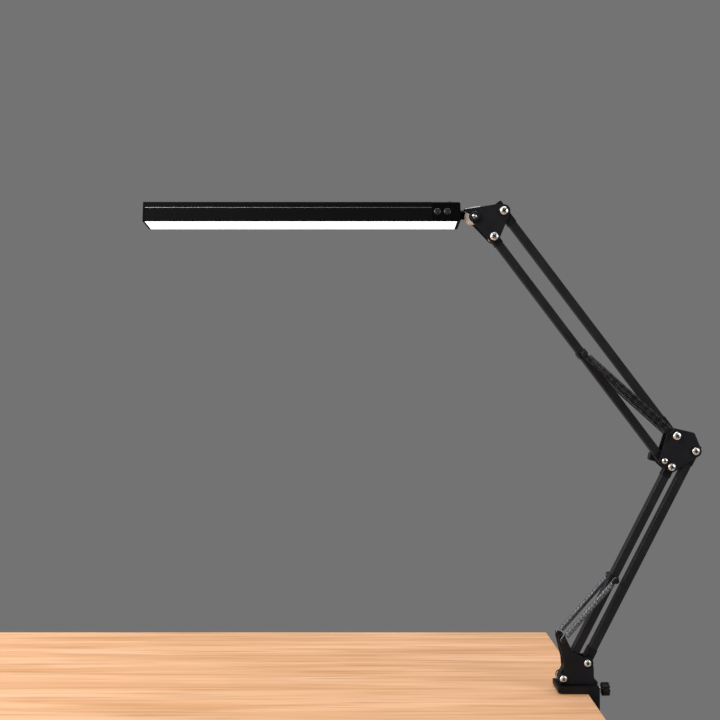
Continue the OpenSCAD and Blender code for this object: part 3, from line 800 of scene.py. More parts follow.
def hull(circles: list[tuple[Point, float]], steps: int = 72) -> Profile:
    """Outline of the tight band round circles.

    Args:
        circles: Centre and radius of each, in mm.
        steps: Directions in which the outermost circle is looked for.

    Returns:
        One point of the outline in each direction.
    """
    outline = []
    for i in range(steps):
        way = ray(360 * i / steps)
        centre, radius = max(circles, key=lambda circle: Vector(circle[0]).dot(way) + circle[1])
        outline.append(tuple(Vector(centre) + radius * way))
    return outline


def box(low: tuple[float, float, float], high: tuple[float, float, float]) -> Mesh:
    """Upright block between two corners in mm."""
    outline = [(low[0], low[1]), (high[0], low[1]), (high[0], high[1]), (low[0], high[1])]
    return prism(outline, low[2], high[2])


def new_piece(name: str, data: bpy.types.ID) -> Piece:
    """Makes an object at the origin.

    Args:
        name: Name of the object.
        data: Mesh, light or camera that it shows.

    Returns:
        The new object, in the scene.
    """
    piece = bpy.data.objects.new(name, data)
    bpy.context.scene.collection.objects.link(piece)
    return piece


def settled(piece: Piece) -> Mesh:
    """Ends the work on a piece.

    Args:
        piece: Piece with modifiers, which is removed.

    Returns:
        What the modifiers make of its mesh.
    """
    graph = bpy.context.evaluated_depsgraph_get()
    result = piece.evaluated_get(graph)
    mesh = bpy.data.meshes.new_from_object(result, preserve_all_data_layers=True, depsgraph=graph)
    bpy.data.objects.remove(piece)
    return mesh


class Cut(Enum):
    """Part of a mesh that a cut keeps."""

    OUTSIDE = "DIFFERENCE"
    INSIDE = "INTERSECT"


def cut(mesh: Mesh, tool: Mesh, keep: Cut = Cut.OUTSIDE) -> Mesh:
    """Cuts a mesh with another.

    Args:
        mesh: Mesh that is cut.
        tool: Mesh that cuts it.
        keep: Part of the mesh that stays.

    Returns:
        The new mesh, on its own.
    """
    work = new_piece("work", mesh)
    cutter = new_piece("cutter", tool)
    boolean = work.modifiers.new("cut", "BOOLEAN")
    boolean.operation = keep.value
    boolean.solver = "EXACT"
    boolean.object = cutter
    made = settled(work)
    bpy.data.objects.remove(cutter)
    return made


def crisp(mesh: Mesh, angle: float = 32.0) -> Mesh:
    """Shades a mesh smooth, except over its sharp edges.

    Args:
        mesh: Mesh that is shaded.
        angle: Least angle of an edge that stays sharp, in degrees.

    Returns:
        The same mesh.
    """
    mesh.shade_smooth()
    mesh.set_sharp_from_angle(angle=math.radians(angle))
    return mesh


def rounded(mesh: Mesh, edge: float, segments: int = 3, angle: float = 35.0) -> Mesh:
    """Rounds the sharp edges of a mesh.

    Args:
        mesh: Mesh with clean faces.
        edge: Width of the rounding, in mm.
        segments: Steps across each rounding.
        angle: Least angle of an edge that is rounded, in degrees.

    Returns:
        The new mesh, with its flat faces shaded flat.
    """
    work = new_piece("work", mesh)
    mesh.shade_smooth()
    bevel = work.modifiers.new("edges", "BEVEL")
    bevel.width = edge * MM
    bevel.segments = segments
    bevel.limit_method = "ANGLE"
    bevel.angle_limit = math.radians(angle)
    even = work.modifiers.new("flat faces", "WEIGHTED_NORMAL")
    even.weight = 100
    even.keep_sharp = True
    return settled(work)


def one_mesh(*meshes: Mesh) -> Mesh:
    """Joins meshes into one.

    Args:
        *meshes: The meshes, which stay as they are.

    Returns:
        The joined mesh.
    """
    shape = bmesh.new()
    for mesh in meshes:
        shape.from_mesh(mesh)
    return crisp(mesh_of(shape, "joined"))


def clean_copy(node: str) -> Mesh:
    """Copies the mesh of a CAD node.

    Args:
        node: Name of the node.

    Returns:
        The copy, with its flat faces whole.
    """
    shape = bmesh.new()
    shape.from_mesh(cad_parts[node].data)
    bmesh.ops.remove_doubles(shape, verts=shape.verts, dist=2e-6)
    bmesh.ops.dissolve_limit(shape, angle_limit=math.radians(0.6), verts=shape.verts, edges=shape.edges)
    return mesh_of(shape, node)


def shown(name: str, mesh: Mesh, slot: Slot | None, finish: Finish | None = None) -> Piece:
    """Shows a mesh as a piece, in its slot's finish or in one of its own.

    Args:
        name: Name of the piece.
        mesh: Its mesh.
        slot: Slot of the record that it takes its finish from, if any.
        finish: Finish that it has instead of the slot's.

    Returns:
        The new piece.
    """
    mesh.materials.clear()
    mesh.materials.append((finish or FINISHES[slot]).material())
    piece = new_piece(name, mesh)
    return piece


def ride(piece: Piece, body: str) -> None:
    """Lets a finished piece move with a body."""
    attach(piece, body)
    LOG.info("%s rides on %s, %d faces", piece.name, body, len(piece.data.polygons))


def dress(node: str, mesh: Mesh, body: str, slot: Slot, finish: Finish | None = None) -> None:
    """Puts a mesh in the place of a CAD node.

    Args:
        node: Name of the CAD node.
        mesh: Mesh that stands for it.
        body: Body that it rides on.
        slot: Its material slot.
        finish: Finish that it has instead of the slot's.
    """
    piece = shown(f"{node}.dressed", mesh, slot, finish)
    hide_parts(node)
    ride(piece, body)


def take_over(body: str, slot: Slot, edge: float, *nodes: str, segments: int = 3) -> None:
    """Takes CAD nodes over as pieces with rounded edges and a finish.

    Args:
        body: Body that they ride on.
        slot: Their material slot.
        edge: Width of the rounding, in mm.
        *nodes: Names of the CAD nodes.
        segments: Steps across each rounding.
    """
    for node in nodes:
        dress(node, rounded(clean_copy(node), edge, segments), body, slot)


class Grower:
    """Geometry-node trees that make what repeats or follows a rule, each built once."""

    def __init__(self) -> None:
        """Builds the five trees."""
        self.scattered = self.scattered_tree()
        self.turned = self.turned_tree()
        self.stepped = self.stepped_tree()
        self.spring = self.spring_tree()
        self.thread = self.thread_tree()

    @staticmethod
    def start(name: str, **kinds: tuple[str, ...]) -> tuple[Tree, object]:
        """Starts a tree with named inputs.

        Args:
            name: Name of the tree.
            **kinds: Names of its inputs of each kind.

        Returns:
            The tree, and the outputs of its input node.
        """
        tree = bpy.data.node_groups.new(name, "GeometryNodeTree")
        for kind, labels in (kinds | {"Material": ("Material",)}).items():
            for label in labels:
                tree.interface.new_socket(name=label, in_out="INPUT", socket_type=f"NodeSocket{kind}")
        tree.interface.new_socket(name="Geometry", in_out="OUTPUT", socket_type="NodeSocketGeometry")
        return tree, add(tree, "NodeGroupInput").outputs

    @staticmethod
    def end(tree: Tree, geometry: Socket, material: Socket) -> Tree:
        """Ends a tree in real meshes with one material.

        Args:
            tree: Tree that is ended.
            geometry: What it has made.
            material: Socket of the material.

        Returns:
            The same tree.
        """
        real = add(tree, "GeometryNodeRealizeInstances", {"Geometry": geometry})
        coated = add(tree, "GeometryNodeSetMaterial", {"Geometry": real.outputs[0], "Material": material})
        add(tree, "NodeGroupOutput", {0: coated.outputs[0]})
        return tree

    def scattered_tree(self) -> Tree:
        """Puts a part on each point, turned about the depth axis by a seeded random angle.

        Returns:
            The tree that does so.
        """
        tree, given = self.start("parts on places", Geometry=("Places",), Object=("Part",), Int=("Seed",))
        part = add(tree, "GeometryNodeObjectInfo", {"Object": given["Part"]}).outputs["Geometry"]
        turn = add(tree, "FunctionNodeRandomValue", {2: 0.0, 3: 2 * math.pi, 8: given["Seed"]})
        angle = add(tree, "ShaderNodeCombineXYZ", {"Y": turn.outputs[1]}).outputs[0]
        turned = add(tree, "FunctionNodeEulerToRotation", {0: angle}).outputs[0]
        points = add(tree, "GeometryNodeMeshToPoints", {0: given["Places"]}).outputs[0]
        inputs = {"Points": points, "Instance": part, "Rotation": turned}
        parts = add(tree, "GeometryNodeInstanceOnPoints", inputs)
        return self.end(tree, parts.outputs[0], given["Material"])

    def turned_tree(self) -> Tree:
        """Repeats its own mesh round the Z axis.

        Returns:
            The tree that does so.
        """
        tree, given = self.start("part round an axis", Geometry=("Part",), Int=("Count",))
        count = given["Count"]
        points = add(tree, "GeometryNodePoints", {"Count": count}).outputs[0]
        index = add(tree, "GeometryNodeInputIndex").outputs[0]
        share = add(tree, "ShaderNodeMath", {0: index, 1: count}, operation="DIVIDE").outputs[0]
        turn = add(tree, "ShaderNodeMath", {0: share, 1: 2 * math.pi}, operation="MULTIPLY").outputs[0]
        angle = add(tree, "ShaderNodeCombineXYZ", {"Z": turn}).outputs[0]
        turned = add(tree, "FunctionNodeEulerToRotation", {0: angle}).outputs[0]
        inputs = {"Points": points, "Instance": given["Part"], "Rotation": turned}
        parts = add(tree, "GeometryNodeInstanceOnPoints", inputs)
        return self.end(tree, parts.outputs[0], given["Material"])

    def stepped_tree(self) -> Tree:
        """Repeats its own mesh in a grid of equal steps.

        Returns:
            The tree that does so.
        """
        tree, given = self.start(
            "part in a grid", Geometry=("Part",), Int=("Columns", "Rows"), Vector=("Column Step", "Row Step")
        )
        columns = given["Columns"]
        count = add(tree, "ShaderNodeMath", {0: columns, 1: given["Rows"]}, operation="MULTIPLY").outputs[0]
        index = add(tree, "GeometryNodeInputIndex").outputs[0]
        column = add(tree, "ShaderNodeMath", {0: index, 1: columns}, operation="MODULO").outputs[0]
        share = add(tree, "ShaderNodeMath", {0: index, 1: columns}, operation="DIVIDE").outputs[0]
        row = add(tree, "ShaderNodeMath", {0: share}, operation="FLOOR").outputs[0]
        across, along = (
            add(tree, "ShaderNodeVectorMath", {0: given[f"{way} Step"], "Scale": number}, operation="SCALE")
            for way, number in (("Column", column), ("Row", row))
        )
        steps = {0: across.outputs[0], 1: along.outputs[0]}
        place = add(tree, "ShaderNodeVectorMath", steps, operation="ADD")
        points = add(tree, "GeometryNodePoints", {"Count": count, "Position": place.outputs[0]}).outputs[0]
        parts = add(tree, "GeometryNodeInstanceOnPoints", {"Points": points, "Instance": given["Part"]})
        return self.end(tree, parts.outputs[0], given["Material"])

    def spring_tree(self) -> Tree:
        """Winds a tension spring along X: a hook, a coil and a hook in one wire.

        Returns:
            The tree that does so.
        """
        hooks = ("First Hook Radius", "Second Hook Radius")
        wire = ("Length", "Coil Radius", "Wire Radius", "Turns", *hooks, "Lead")
        tree, given = self.start("tension spring", Float=wire)
        radius, length, lead = given["Coil Radius"], given["Length"], given["Lead"]
        first, second = (given[hook] for hook in hooks)
        start = add(tree, "ShaderNodeMath", {0: first, 1: lead}, operation="ADD").outputs[0]
        tail = add(tree, "ShaderNodeMath", {0: second, 1: lead}, operation="ADD").outputs[0]
        stop = add(tree, "ShaderNodeMath", {0: length, 1: tail}, operation="SUBTRACT").outputs[0]
        height = add(tree, "ShaderNodeMath", {0: stop, 1: start}, operation="SUBTRACT").outputs[0]
        bend = add(tree, "ShaderNodeMath", {0: lead, 1: 0.6}, operation="MULTIPLY").outputs[0]
        back = add(tree, "ShaderNodeMath", {0: 0.0, 1: bend}, operation="SUBTRACT").outputs[0]
        before_end = add(tree, "ShaderNodeMath", {0: length, 1: bend}, operation="SUBTRACT").outputs[0]

        sizes = {"Resolution": 16, "Rotations": given["Turns"], "Height": height}
        radii = {"Start Radius": radius, "End Radius": radius}
        coil = add(tree, "GeometryNodeCurveSpiral", sizes | radii).outputs[0]
        # Curve, the place of its centre along the spring, and how it is turned from the Z axis
        curves = [(coil, {"X": start}, Euler((math.pi, -math.pi / 2, 0)))]
        sweep = {"Resolution": 22, "Sweep Angle": math.radians(-210)}
        for lift, centre, begin in ((first, {}, 300), (second, {"X": length}, 90)):
            reach = {"Radius": lift, "Start Angle": math.radians(begin)}
            hook = add(tree, "GeometryNodeCurveArc", sweep | reach).outputs[0]
            curves.append((hook, centre, Euler((math.pi / 2, 0, 0))))
        runs = []
        for curve, centre, turn in curves:
            put = add(tree, "ShaderNodeCombineXYZ", centre).outputs[0]
            moved = {"Geometry": curve, "Translation": put, "Rotation": turn}
            runs.append(add(tree, "GeometryNodeTransform", moved).outputs[0])
        # Corners of the two leads, from the first hook to the coil and from the coil to the second hook
        leads = (
            (
                {"Z": first},
                {"X": bend, "Z": first},
                {"X": start, "Y": bend, "Z": radius},
                {"X": start, "Z": radius},
            ),
            (
                {"X": stop, "Z": radius},
                {"X": stop, "Y": back, "Z": radius},
                {"X": before_end, "Z": second},
                {"X": length, "Z": second},
            ),
        )
        for corners in leads:
            points = [add(tree, "ShaderNodeCombineXYZ", corner).outputs[0] for corner in corners]
            handles = dict(zip(("Start", "Start Handle", "End Handle", "End"), points))
            run = add(tree, "GeometryNodeCurvePrimitiveBezierSegment", {"Resolution": 12} | handles)
            runs.append(run.outputs[0])
        joined = add(tree, "GeometryNodeJoinGeometry")
        for run in runs:
            line = add(tree, "GeometryNodeCurveToMesh", {0: run})
            tree.links.new(line.outputs[0], joined.inputs[0])
        whole = {"Geometry": joined.outputs[0], "Distance": 0.02 * MM}
        merged = add(tree, "GeometryNodeMergeByDistance", whole)
        path = add(tree, "GeometryNodeMeshToCurve", {0: merged.outputs[0]}).outputs[0]
        circle = {"Resolution": 8, "Radius": given["Wire Radius"]}
        section = add(tree, "GeometryNodeCurvePrimitiveCircle", circle).outputs[0]
        tube = add(tree, "GeometryNodeCurveToMesh", {0: path, "Profile Curve": section, "Fill Caps": True})
        return self.end(tree, tube.outputs[0], given["Material"])

    def thread_tree(self) -> Tree:
        """Winds a thread's ridge round a core along Z.

        Returns:
            The tree that does so.
        """
        tree, given = self.start("threaded rod", Float=("Length", "Core Radius", "Ridge", "Pitch"))
        length, radius = given["Length"], given["Core Radius"]
        turns = add(tree, "ShaderNodeMath", {0: length, 1: given["Pitch"]}, operation="DIVIDE").outputs[0]
        sizes = {"Resolution": 28, "Rotations": turns, "Height": length}
        radii = {"Start Radius": radius, "End Radius": radius}
        coil = add(tree, "GeometryNodeCurveSpiral", sizes | radii).outputs[0]
        circle = {"Resolution": 4, "Radius": given["Ridge"]}
        section = add(tree, "GeometryNodeCurvePrimitiveCircle", circle).outputs[0]
        ridge = add(tree, "GeometryNodeCurveToMesh", {0: coil, "Profile Curve": section, "Fill Caps": True})
        core = add(tree, "GeometryNodeMeshCylinder", {"Vertices": 40, "Radius": radius, "Depth": length})
        half = add(tree, "ShaderNodeMath", {0: length, 1: 0.5}, operation="MULTIPLY").outputs[0]
        lift = add(tree, "ShaderNodeCombineXYZ", {"Z": half}).outputs[0]
        raised = add(tree, "GeometryNodeTransform", {"Geometry": core.outputs[0], "Translation": lift})
        joined = add(tree, "GeometryNodeJoinGeometry")
        for part in (ridge, raised):
            tree.links.new(part.outputs[0], joined.inputs[0])
        return self.end(tree, joined.outputs[0], given["Material"])

    @staticmethod
    def grown(tree: Tree, finish: Finish, values: dict, mesh: Mesh | None = None) -> Mesh:
        """Runs a tree once and keeps its mesh.

        Args:
            tree: Tree to run.
            finish: Finish of the whole mesh.
            values: Value of each named input.
            mesh: Mesh that the tree starts from.

        Returns:
            The plain mesh.
        """
        work = new_piece("work", mesh or bpy.data.meshes.new("empty"))
        modifier = work.modifiers.new("grow", "NODES")
        modifier.node_group = tree
        inputs = {s.name: s.identifier for s in tree.interface.items_tree if s.in_out == "INPUT"}
        for label, value in ({"Material": finish.material()} | values).items():
            modifier[inputs[label]] = value
        return crisp(settled(work))

    def on_places(self, part: Mesh, places: list[Vector], seed: int, finish: Finish) -> Mesh:
        """Puts a part on places, each turned at random about the depth axis.

        Args:
            part: Mesh of the part, about the origin.
            places: Places in mm.
            seed: Seed of the random turns.
            finish: Finish of the parts.

        Returns:
            One mesh of all the parts.
        """
        points = bpy.data.meshes.new("places")
        points.from_pydata([p * MM for p in places], [], [])
        model = new_piece("part", part)
        made = self.grown(self.scattered, finish, {"Part": model, "Seed": seed}, points)
        bpy.data.objects.remove(model)
        return made

    def round_axis(self, part: Mesh, count: int, finish: Finish) -> Mesh:
        """Repeats a part round the Z axis."""
        return self.grown(self.turned, finish, {"Count": count}, part)

    def in_row(self, part: Mesh, count: int, step: tuple[float, float, float], finish: Finish) -> Mesh:
        """Repeats a part in a row.

        Args:
            part: Mesh of the first part.
            count: Number of parts.
            step: From one part to the next, in mm.
            finish: Finish of the parts.

        Returns:
            One mesh of all the parts.
        """
        values = {"Columns": count, "Rows": 1, "Column Step": tuple(x * MM for x in step)}
        return self.grown(self.stepped, finish, values, part)

    def rod(self, length: float, core: float, ridge: float, pitch: float) -> Mesh:
        """Winds a zinc plated thread up the Z axis from 0.

        Args:
            length: Length of the rod in mm, as are all its sizes.
            core: Radius under the thread.
            ridge: Height of the thread.
            pitch: Rise of one turn.

        Returns:
            The rod's mesh.
        """
        sizes = {"Length": length, "Core Radius": core, "Ridge": ridge, "Pitch": pitch}
        values = {label: size * MM for label, size in sizes.items()}
        return self.grown(self.thread, FINISHES[Slot.ZINC_STEEL], values)


GROW = Grower()


@dataclass(frozen=True)
class Bolt:
    """Domed cross-recess bolt along Z, with its head above 0 and its shank below, in mm."""

    diameter: float = 5.0
    head: float = 10.0
    head_height: float = 3.0
    shank: float = 22.5
    thread: float = 4.6
    pitch: float = 0.8
    dome_steps: int = 8
    # Share of the head's height that is straight, with the dome on it
    straight: float = 0.32
    # Cross as shares of the head: reach and half width of an arm, its depth, and how it narrows
    cross: tuple[float, float] = (0.3, 0.08)
    cross_depth: float = 0.62
    taper: Point = (0.62, 0.75)

    def mesh(self) -> Mesh:
        """Turns the bolt and sinks the cross in its head.

        Returns:
            The bolt's mesh.
        """
        radius, crown, height = self.diameter / 2, self.head / 2, self.head_height
        bottom, pitch = -self.shank, self.pitch
        profile = [(0.0, bottom), (radius - 0.45, bottom)]
        turns = int(self.thread / pitch)
        for i in range(turns):
            crest, root = bottom + pitch / 2 + pitch * i, bottom + pitch + pitch * i
            profile += [(radius - 0.02, crest), (radius - 0.4, root)]
        profile += [(radius, bottom + pitch * turns + 0.5), (radius, 0.0), (crown - 0.15, 0.0)]
        profile += [(crown, 0.15), (crown, height * self.straight)]
        for i in range(1, self.dome_steps + 1):
            a = math.pi / 2 * i / self.dome_steps
            out = crown * math.cos(a) ** 0.8 if i < self.dome_steps else 0.0
            profile.append((out, height * (self.straight + (1 - self.straight) * math.sin(a))))
        return crisp(cut(lathe(profile), self.recess()), MACHINED)

    def recess(self, wall: float = 0.0, fill: float = 1.0) -> Mesh:
        """Cross that narrows as it goes down.

        Args:
            wall: How much wider than the recess it is, to line it.
            fill: Share of its height, from its floor up.

        Returns:
            The cross, as a tool or as the dark lining that paints shade in the recess.
        """
        reach, half = (self.head * share + wall for share in self.cross)
        deep = self.head_height * self.cross_depth
        floor = self.head_height - deep - wall
        arm = [(reach, -half), (reach, half), (half, half)]
        turns = [(1, 0), (0, 1), (-1, 0), (0, -1)]
        outline = [(c * x - s * y, s * x + c * y) for c, s in turns for x, y in arm]
        bottom = [(x * self.taper[0], y * self.taper[1]) for x, y in outline]
        return loft(bottom, floor, outline, floor + (deep + 0.4) * fill)


@dataclass(frozen=True)
class Nut:
    """Hex nut along Z with chamfered corners, its base at 0, in mm."""

    bolt: float = 5.0
    height: float = 4.0

    def mesh(self) -> Mesh:
        """Cuts a chamfered ring to a hexagon.

        Returns:
            The nut's mesh.
        """
        corner, hole, high = self.bolt * 0.925, self.bolt / 2 + 0.05, self.height
        flat = corner * math.cos(math.pi / 6)
        ring = [
            (hole + 0.4, 0.0), (flat + 0.05, 0.0), (corner + 0.02, 0.45), (corner + 0.02, high - 0.45),
            (flat + 0.05, high), (hole + 0.4, high), (hole, high - 0.4), (hole, 0.4),
        ]
        hexagon = [(corner * math.cos(math.pi * i / 3), corner * math.sin(math.pi * i / 3)) for i in range(6)]
        return crisp(cut(lathe(ring, ring=True), prism(hexagon, -1, high + 1), Cut.INSIDE), MACHINED)


@dataclass(frozen=True)
class BoltRow:
    """Bolts of one node, whose heads sit at one depth in front of the lamp's plane."""

    node: str
    body: str
    places: list[Vector]
    seat: float
    bolt: Bolt
    seed: int

    @property
    def spots(self) -> list[Vector]:
        """Where the undersides of the heads are."""
        return [Vector((p.x, -self.seat, p.y)) for p in self.places]

    def bolts(self) -> None:
        """Puts a bolt on each spot."""
        head = placed(self.bolt.mesh(), FORWARD)
        mesh = GROW.on_places(head, self.spots, self.seed, FINISHES[Slot.BOLT_NICKEL])
        dress(self.node, mesh, self.body, Slot.BOLT_NICKEL)

    def collars(self) -> None:
        """Puts the black ring round each head."""
        rim = self.bolt.head / 2
        collar = eased([(rim + 0.06, 0.0), (rim + 1.6, 0.0), (rim + 1.6, 0.8), (rim + 0.06, 1.3)], 0.2)
        ring = placed(lathe(collar, ring=True), FORWARD)
        rings = GROW.on_places(ring, self.spots, self.seed, FINISHES[Slot.FITTING_PLASTIC])
        ride(shown(self.node + ".collars", rings, Slot.FITTING_PLASTIC), self.body)

    def painted_shade_crosses(self) -> None:
        """Lines the recess of each bolt with a dark lining, as painted shade."""
        lining = placed(self.bolt.recess(0.04, 0.5), FORWARD)
        painted_shade_crosses = GROW.on_places(lining, self.spots, self.seed, CROSS_PAINTED_SHADE)
        ride(shown(self.node + ".crosses", painted_shade_crosses, Slot.TRIM_SCREW, CROSS_PAINTED_SHADE), self.body)


@dataclass(frozen=True)
class PivotRow(BoltRow):
    """Pivot bolts of one bracket, with the nuts behind them."""

    nuts_node: str
    nut_places: list[tuple[Vector, float]]

    def build(self) -> None:
        """Puts the bolts in front and the nuts behind."""
        self.bolts()
        nut = placed(Nut().mesh(), BACKWARD)
        backs = [Vector((p.x, y, p.y)) for p, y in self.nut_places]
        nuts = GROW.on_places(nut, backs, self.seed + 1, FINISHES[Slot.ZINC_STEEL])
        dress(self.nuts_node, nuts, self.body, Slot.ZINC_STEEL)
        self.collars()
        self.painted_shade_crosses()


@dataclass(frozen=True)
class Spring:
    """Tension spring between two places at one depth, in mm."""

    start: Vector
    stop: Vector
    depth: float
    outer: float
    wire: float
    turns: int
    bars: tuple[float, float]
    lead: float = 3.2
    play: float = 0.3

    def mesh(self, finish: Finish) -> Mesh:
        """Winds the spring and puts it between its places.

        Args:
            finish: Finish of the wire.

        Returns:
            The spring's mesh.
        """
        run = self.stop - self.start
        first, second = (bar + self.play + self.wire / 2 for bar in self.bars)
        sizes = {
            "Length": run.length,
            "Coil Radius": (self.outer - self.wire) / 2,
            "Wire Radius": self.wire / 2,
            "First Hook Radius": first,
            "Second Hook Radius": second,
            "Lead": self.lead,
        }
        values = {label: size * MM for label, size in sizes.items()}
        mesh = GROW.grown(GROW.spring, finish, values | {"Turns": float(self.turns)})
        turn = Matrix.Rotation(-math.atan2(run.y, run.x), 4, "Y")
        return placed(mesh, at(self.start.x, self.depth, self.start.y) @ turn)


@dataclass
class Clamp:
    """Screw clamp that holds the desk, with its thumb screw."""

    body: str = "clamp"
    pad_len: float = 30.0
    pad_width: float = 31.0
    pad_t: float = 1.5
    pad_ribs: int = 11
    rib_width: float = 1.6
    rib_pitch: float = 2.84
    rib_height: float = 0.6
    rib_inset: float = 0.6
    lower_pad_z: float = -31.5
    lower_pad_radius: float = 12.5
    lower_pad_rings: int = 4
    ring_pitch: float = 2.8
    ring_width: float = 1.4
    ring_height: float = 0.5
    screw_low: float = -116.0
    screw_top: float = -35.5
    screw_core: float = 4.0
    screw_ridge: float = 0.95
    screw_pitch: float = 3.0
    screw_plain: float = 1.0
    lock_z: float = 1.0
    lock_start: float = 30.7
    lock_core: float = 2.55
    lock_ridge: float = 0.42
    lock_pitch: float = 1.0
    lock_in_knob: float = 6.0
    knob_x: float = 38.3
    knob_len: float = 10.0
    knob_d: float = 17.0
    flutes: int = 8

    def build(self) -> None:
        """Builds the frame, the pads, both screws and both knobs."""
        take_over(self.body, Slot.CLAMP_PAINT, 0.7, "clamp_frame")
        take_over(self.body, Slot.FITTING_PLASTIC, 0.2, "swivel_washer")
        self.upper_pad()
        self.lower_pad()
        take_over("pressure", Slot.ZINC_STEEL, 0.4, "pressure_plate")
        self.clamping_screw()
        take_over("screw", Slot.KNOB_PLASTIC, 0.9, "clamp_knob")
        take_over("lock_travel", Slot.NYLON, 0.4, "lock_tip")
        self.thumb_screw()
        self.thumb_knob()

    def upper_pad(self) -> None:
        """Builds the pad under the jaw, with ribs across it."""
        half, wide, inset = self.pad_len / 2, self.pad_width / 2, self.rib_inset
        base = rounded(box((-half, -wide, 0.4), (half, wide, self.pad_t)), 0.15, 2)
        rib = box((-half, -wide + inset, 0.0), (-half + self.rib_width, wide - inset, self.rib_height))
        rib = rounded(rib, 0.15, 2)
        ribs = GROW.in_row(rib, self.pad_ribs, (self.rib_pitch, 0.0, 0.0), FINISHES[Slot.PAD_RUBBER])
        dress("jaw_pad", one_mesh(base, ribs), self.body, Slot.PAD_RUBBER)

    def lower_pad(self) -> None:
        """Builds the pad on the pressure plate, with rings on its face."""
        low, face, rim = self.lower_pad_z, self.lower_pad_z + self.pad_t, self.lower_pad_radius
        groove, width, slope = face - self.ring_height, self.ring_width, 0.3
        profile = [(0.0, low), (rim - 0.2, low), (rim, low + 0.2), (rim, face - slope)]
        for i in range(self.lower_pad_rings):
            outer = rim - slope - self.ring_pitch * i
            profile += [(outer, face), (outer - width, face), (outer - (width + slope), groove)]
            profile.append((outer - (self.ring_pitch - slope), groove))
        profile.append((0.0, groove))
        dress("pressure_pad", crisp(lathe(profile, 64)), "pressure", Slot.PAD_RUBBER)

    def clamping_screw(self) -> None:
        """Builds the threaded screw with its plain tip."""
        length = self.screw_top - self.screw_low - 2 * self.screw_plain
        rod = GROW.rod(length, self.screw_core, self.screw_ridge, self.screw_pitch)
        tip = [
            (0.0, -2.5), (4.0, -2.5), (4.9, -1.6), (4.9, 0.0), (2.75, 0.0), (2.75, 2.8), (2.45, 3.1),
            (0.0, 3.1),
        ]
        end = placed(lathe(tip), at(0, 0, self.screw_top))
        mesh = one_mesh(placed(rod, at(0, 0, self.screw_low + self.screw_plain)), end)
        dress("clamp_screw", mesh, "screw", Slot.ZINC_STEEL)

    def thumb_screw(self) -> None:
        """Builds the thumb screw, which ends in its knob."""
        length = self.knob_x + self.lock_in_knob - self.lock_start
        rod = GROW.rod(length, self.lock_core, self.lock_ridge, self.lock_pitch)
        where = at(self.lock_start, 0, self.lock_z) @ ALONG
        dress("lock_screw", placed(rod, where), "lock_turn", Slot.ZINC_STEEL)

    def thumb_knob(self) -> None:
        """Builds the fluted knob of the thumb screw."""
        rim, length = self.knob_d / 2, self.knob_len
        core = eased(
            [
                (0.0, 0.05), (2.9, 0.0), (rim - 2.6, 0.0), (rim - 1.5, 0.9), (rim - 1.5, length - 1.3),
                (rim - 2.6, length - 0.4), (2.2, length - 0.4), (0.0, length - 0.9),
            ],
            0.4,
        )
        rib = rounded(box((rim - 4.0, -2.1, 0.5), (rim, 2.1, length)), 1.1, 5)
        ribs = GROW.round_axis(rib, self.flutes, FINISHES[Slot.KNOB_PLASTIC])
        where = at(self.knob_x, 0, self.lock_z) @ ALONG
        knob = placed(one_mesh(lathe(core, 64), ribs), where)
        dress("lock_knob", knob, "lock_turn", Slot.KNOB_PLASTIC)


@dataclass
class BaseBracket:
    """Bent sheet that carries the lower arm and turns on the post."""

    body: str = "base"
    bolt_head: float = 9.2
    seed: int = 11

    def build(self) -> None:
        """Builds the sheet, the post and the fasteners."""
        take_over(self.body, Slot.PLATE_PAINT, 0.4, "base_bracket")
        take_over(self.body, Slot.ZINC_STEEL, 0.3, "swivel_post")
        take_over(self.body, Slot.NYLON, 0.12, "base_washers", segments=2)
        take_over(self.body, Slot.CLIP_STEEL, 0.35, "spring_anchor_pins")
        places, seat = [LAMP.base_rear, LAMP.base_front], LAMP.cheek_out
        bolt = Bolt(head=self.bolt_head, shank=2 * seat + BOLT_END)
        nuts = [(p, seat) for p in places]
        row = PivotRow("base_pivot_bolts", self.body, places, seat, bolt, self.seed, "base_pivot_nuts", nuts)
        row.build()


@dataclass
class LowerArm:
    """Two square tubes in parallel with their end fittings and bright springs."""

    coil: float = 7.2
    wire: float = 1.3
    turns: int = 56
    pins: tuple[float, float] = (2.0, 2.0)

    def build(self) -> None:
        """Builds the tubes, the fittings, the clip and the springs."""
        for body in ("lower_rear", "lower_front"):
            take_over(body, Slot.TUBE_BLACK, 0.9, f"{body}_tube", segments=4)
            take_over(body, Slot.FITTING_PLASTIC, 0.5, f"{body}_ends")
        take_over("lower_front", Slot.CLIP_STEEL, 0.4, "lower_spring_clip")
        for node, depth in (("lower_spring_near", -LAMP.hook_y), ("lower_spring_far", LAMP.hook_y)):
            spring = Spring(LAMP.anchor, LAMP.lower_pin, depth, self.coil, self.wire, self.turns, self.pins)
            dress(node, spring.mesh(FINISHES[Slot.SPRING_BRIGHT]), "lower_springs", Slot.SPRING_BRIGHT)


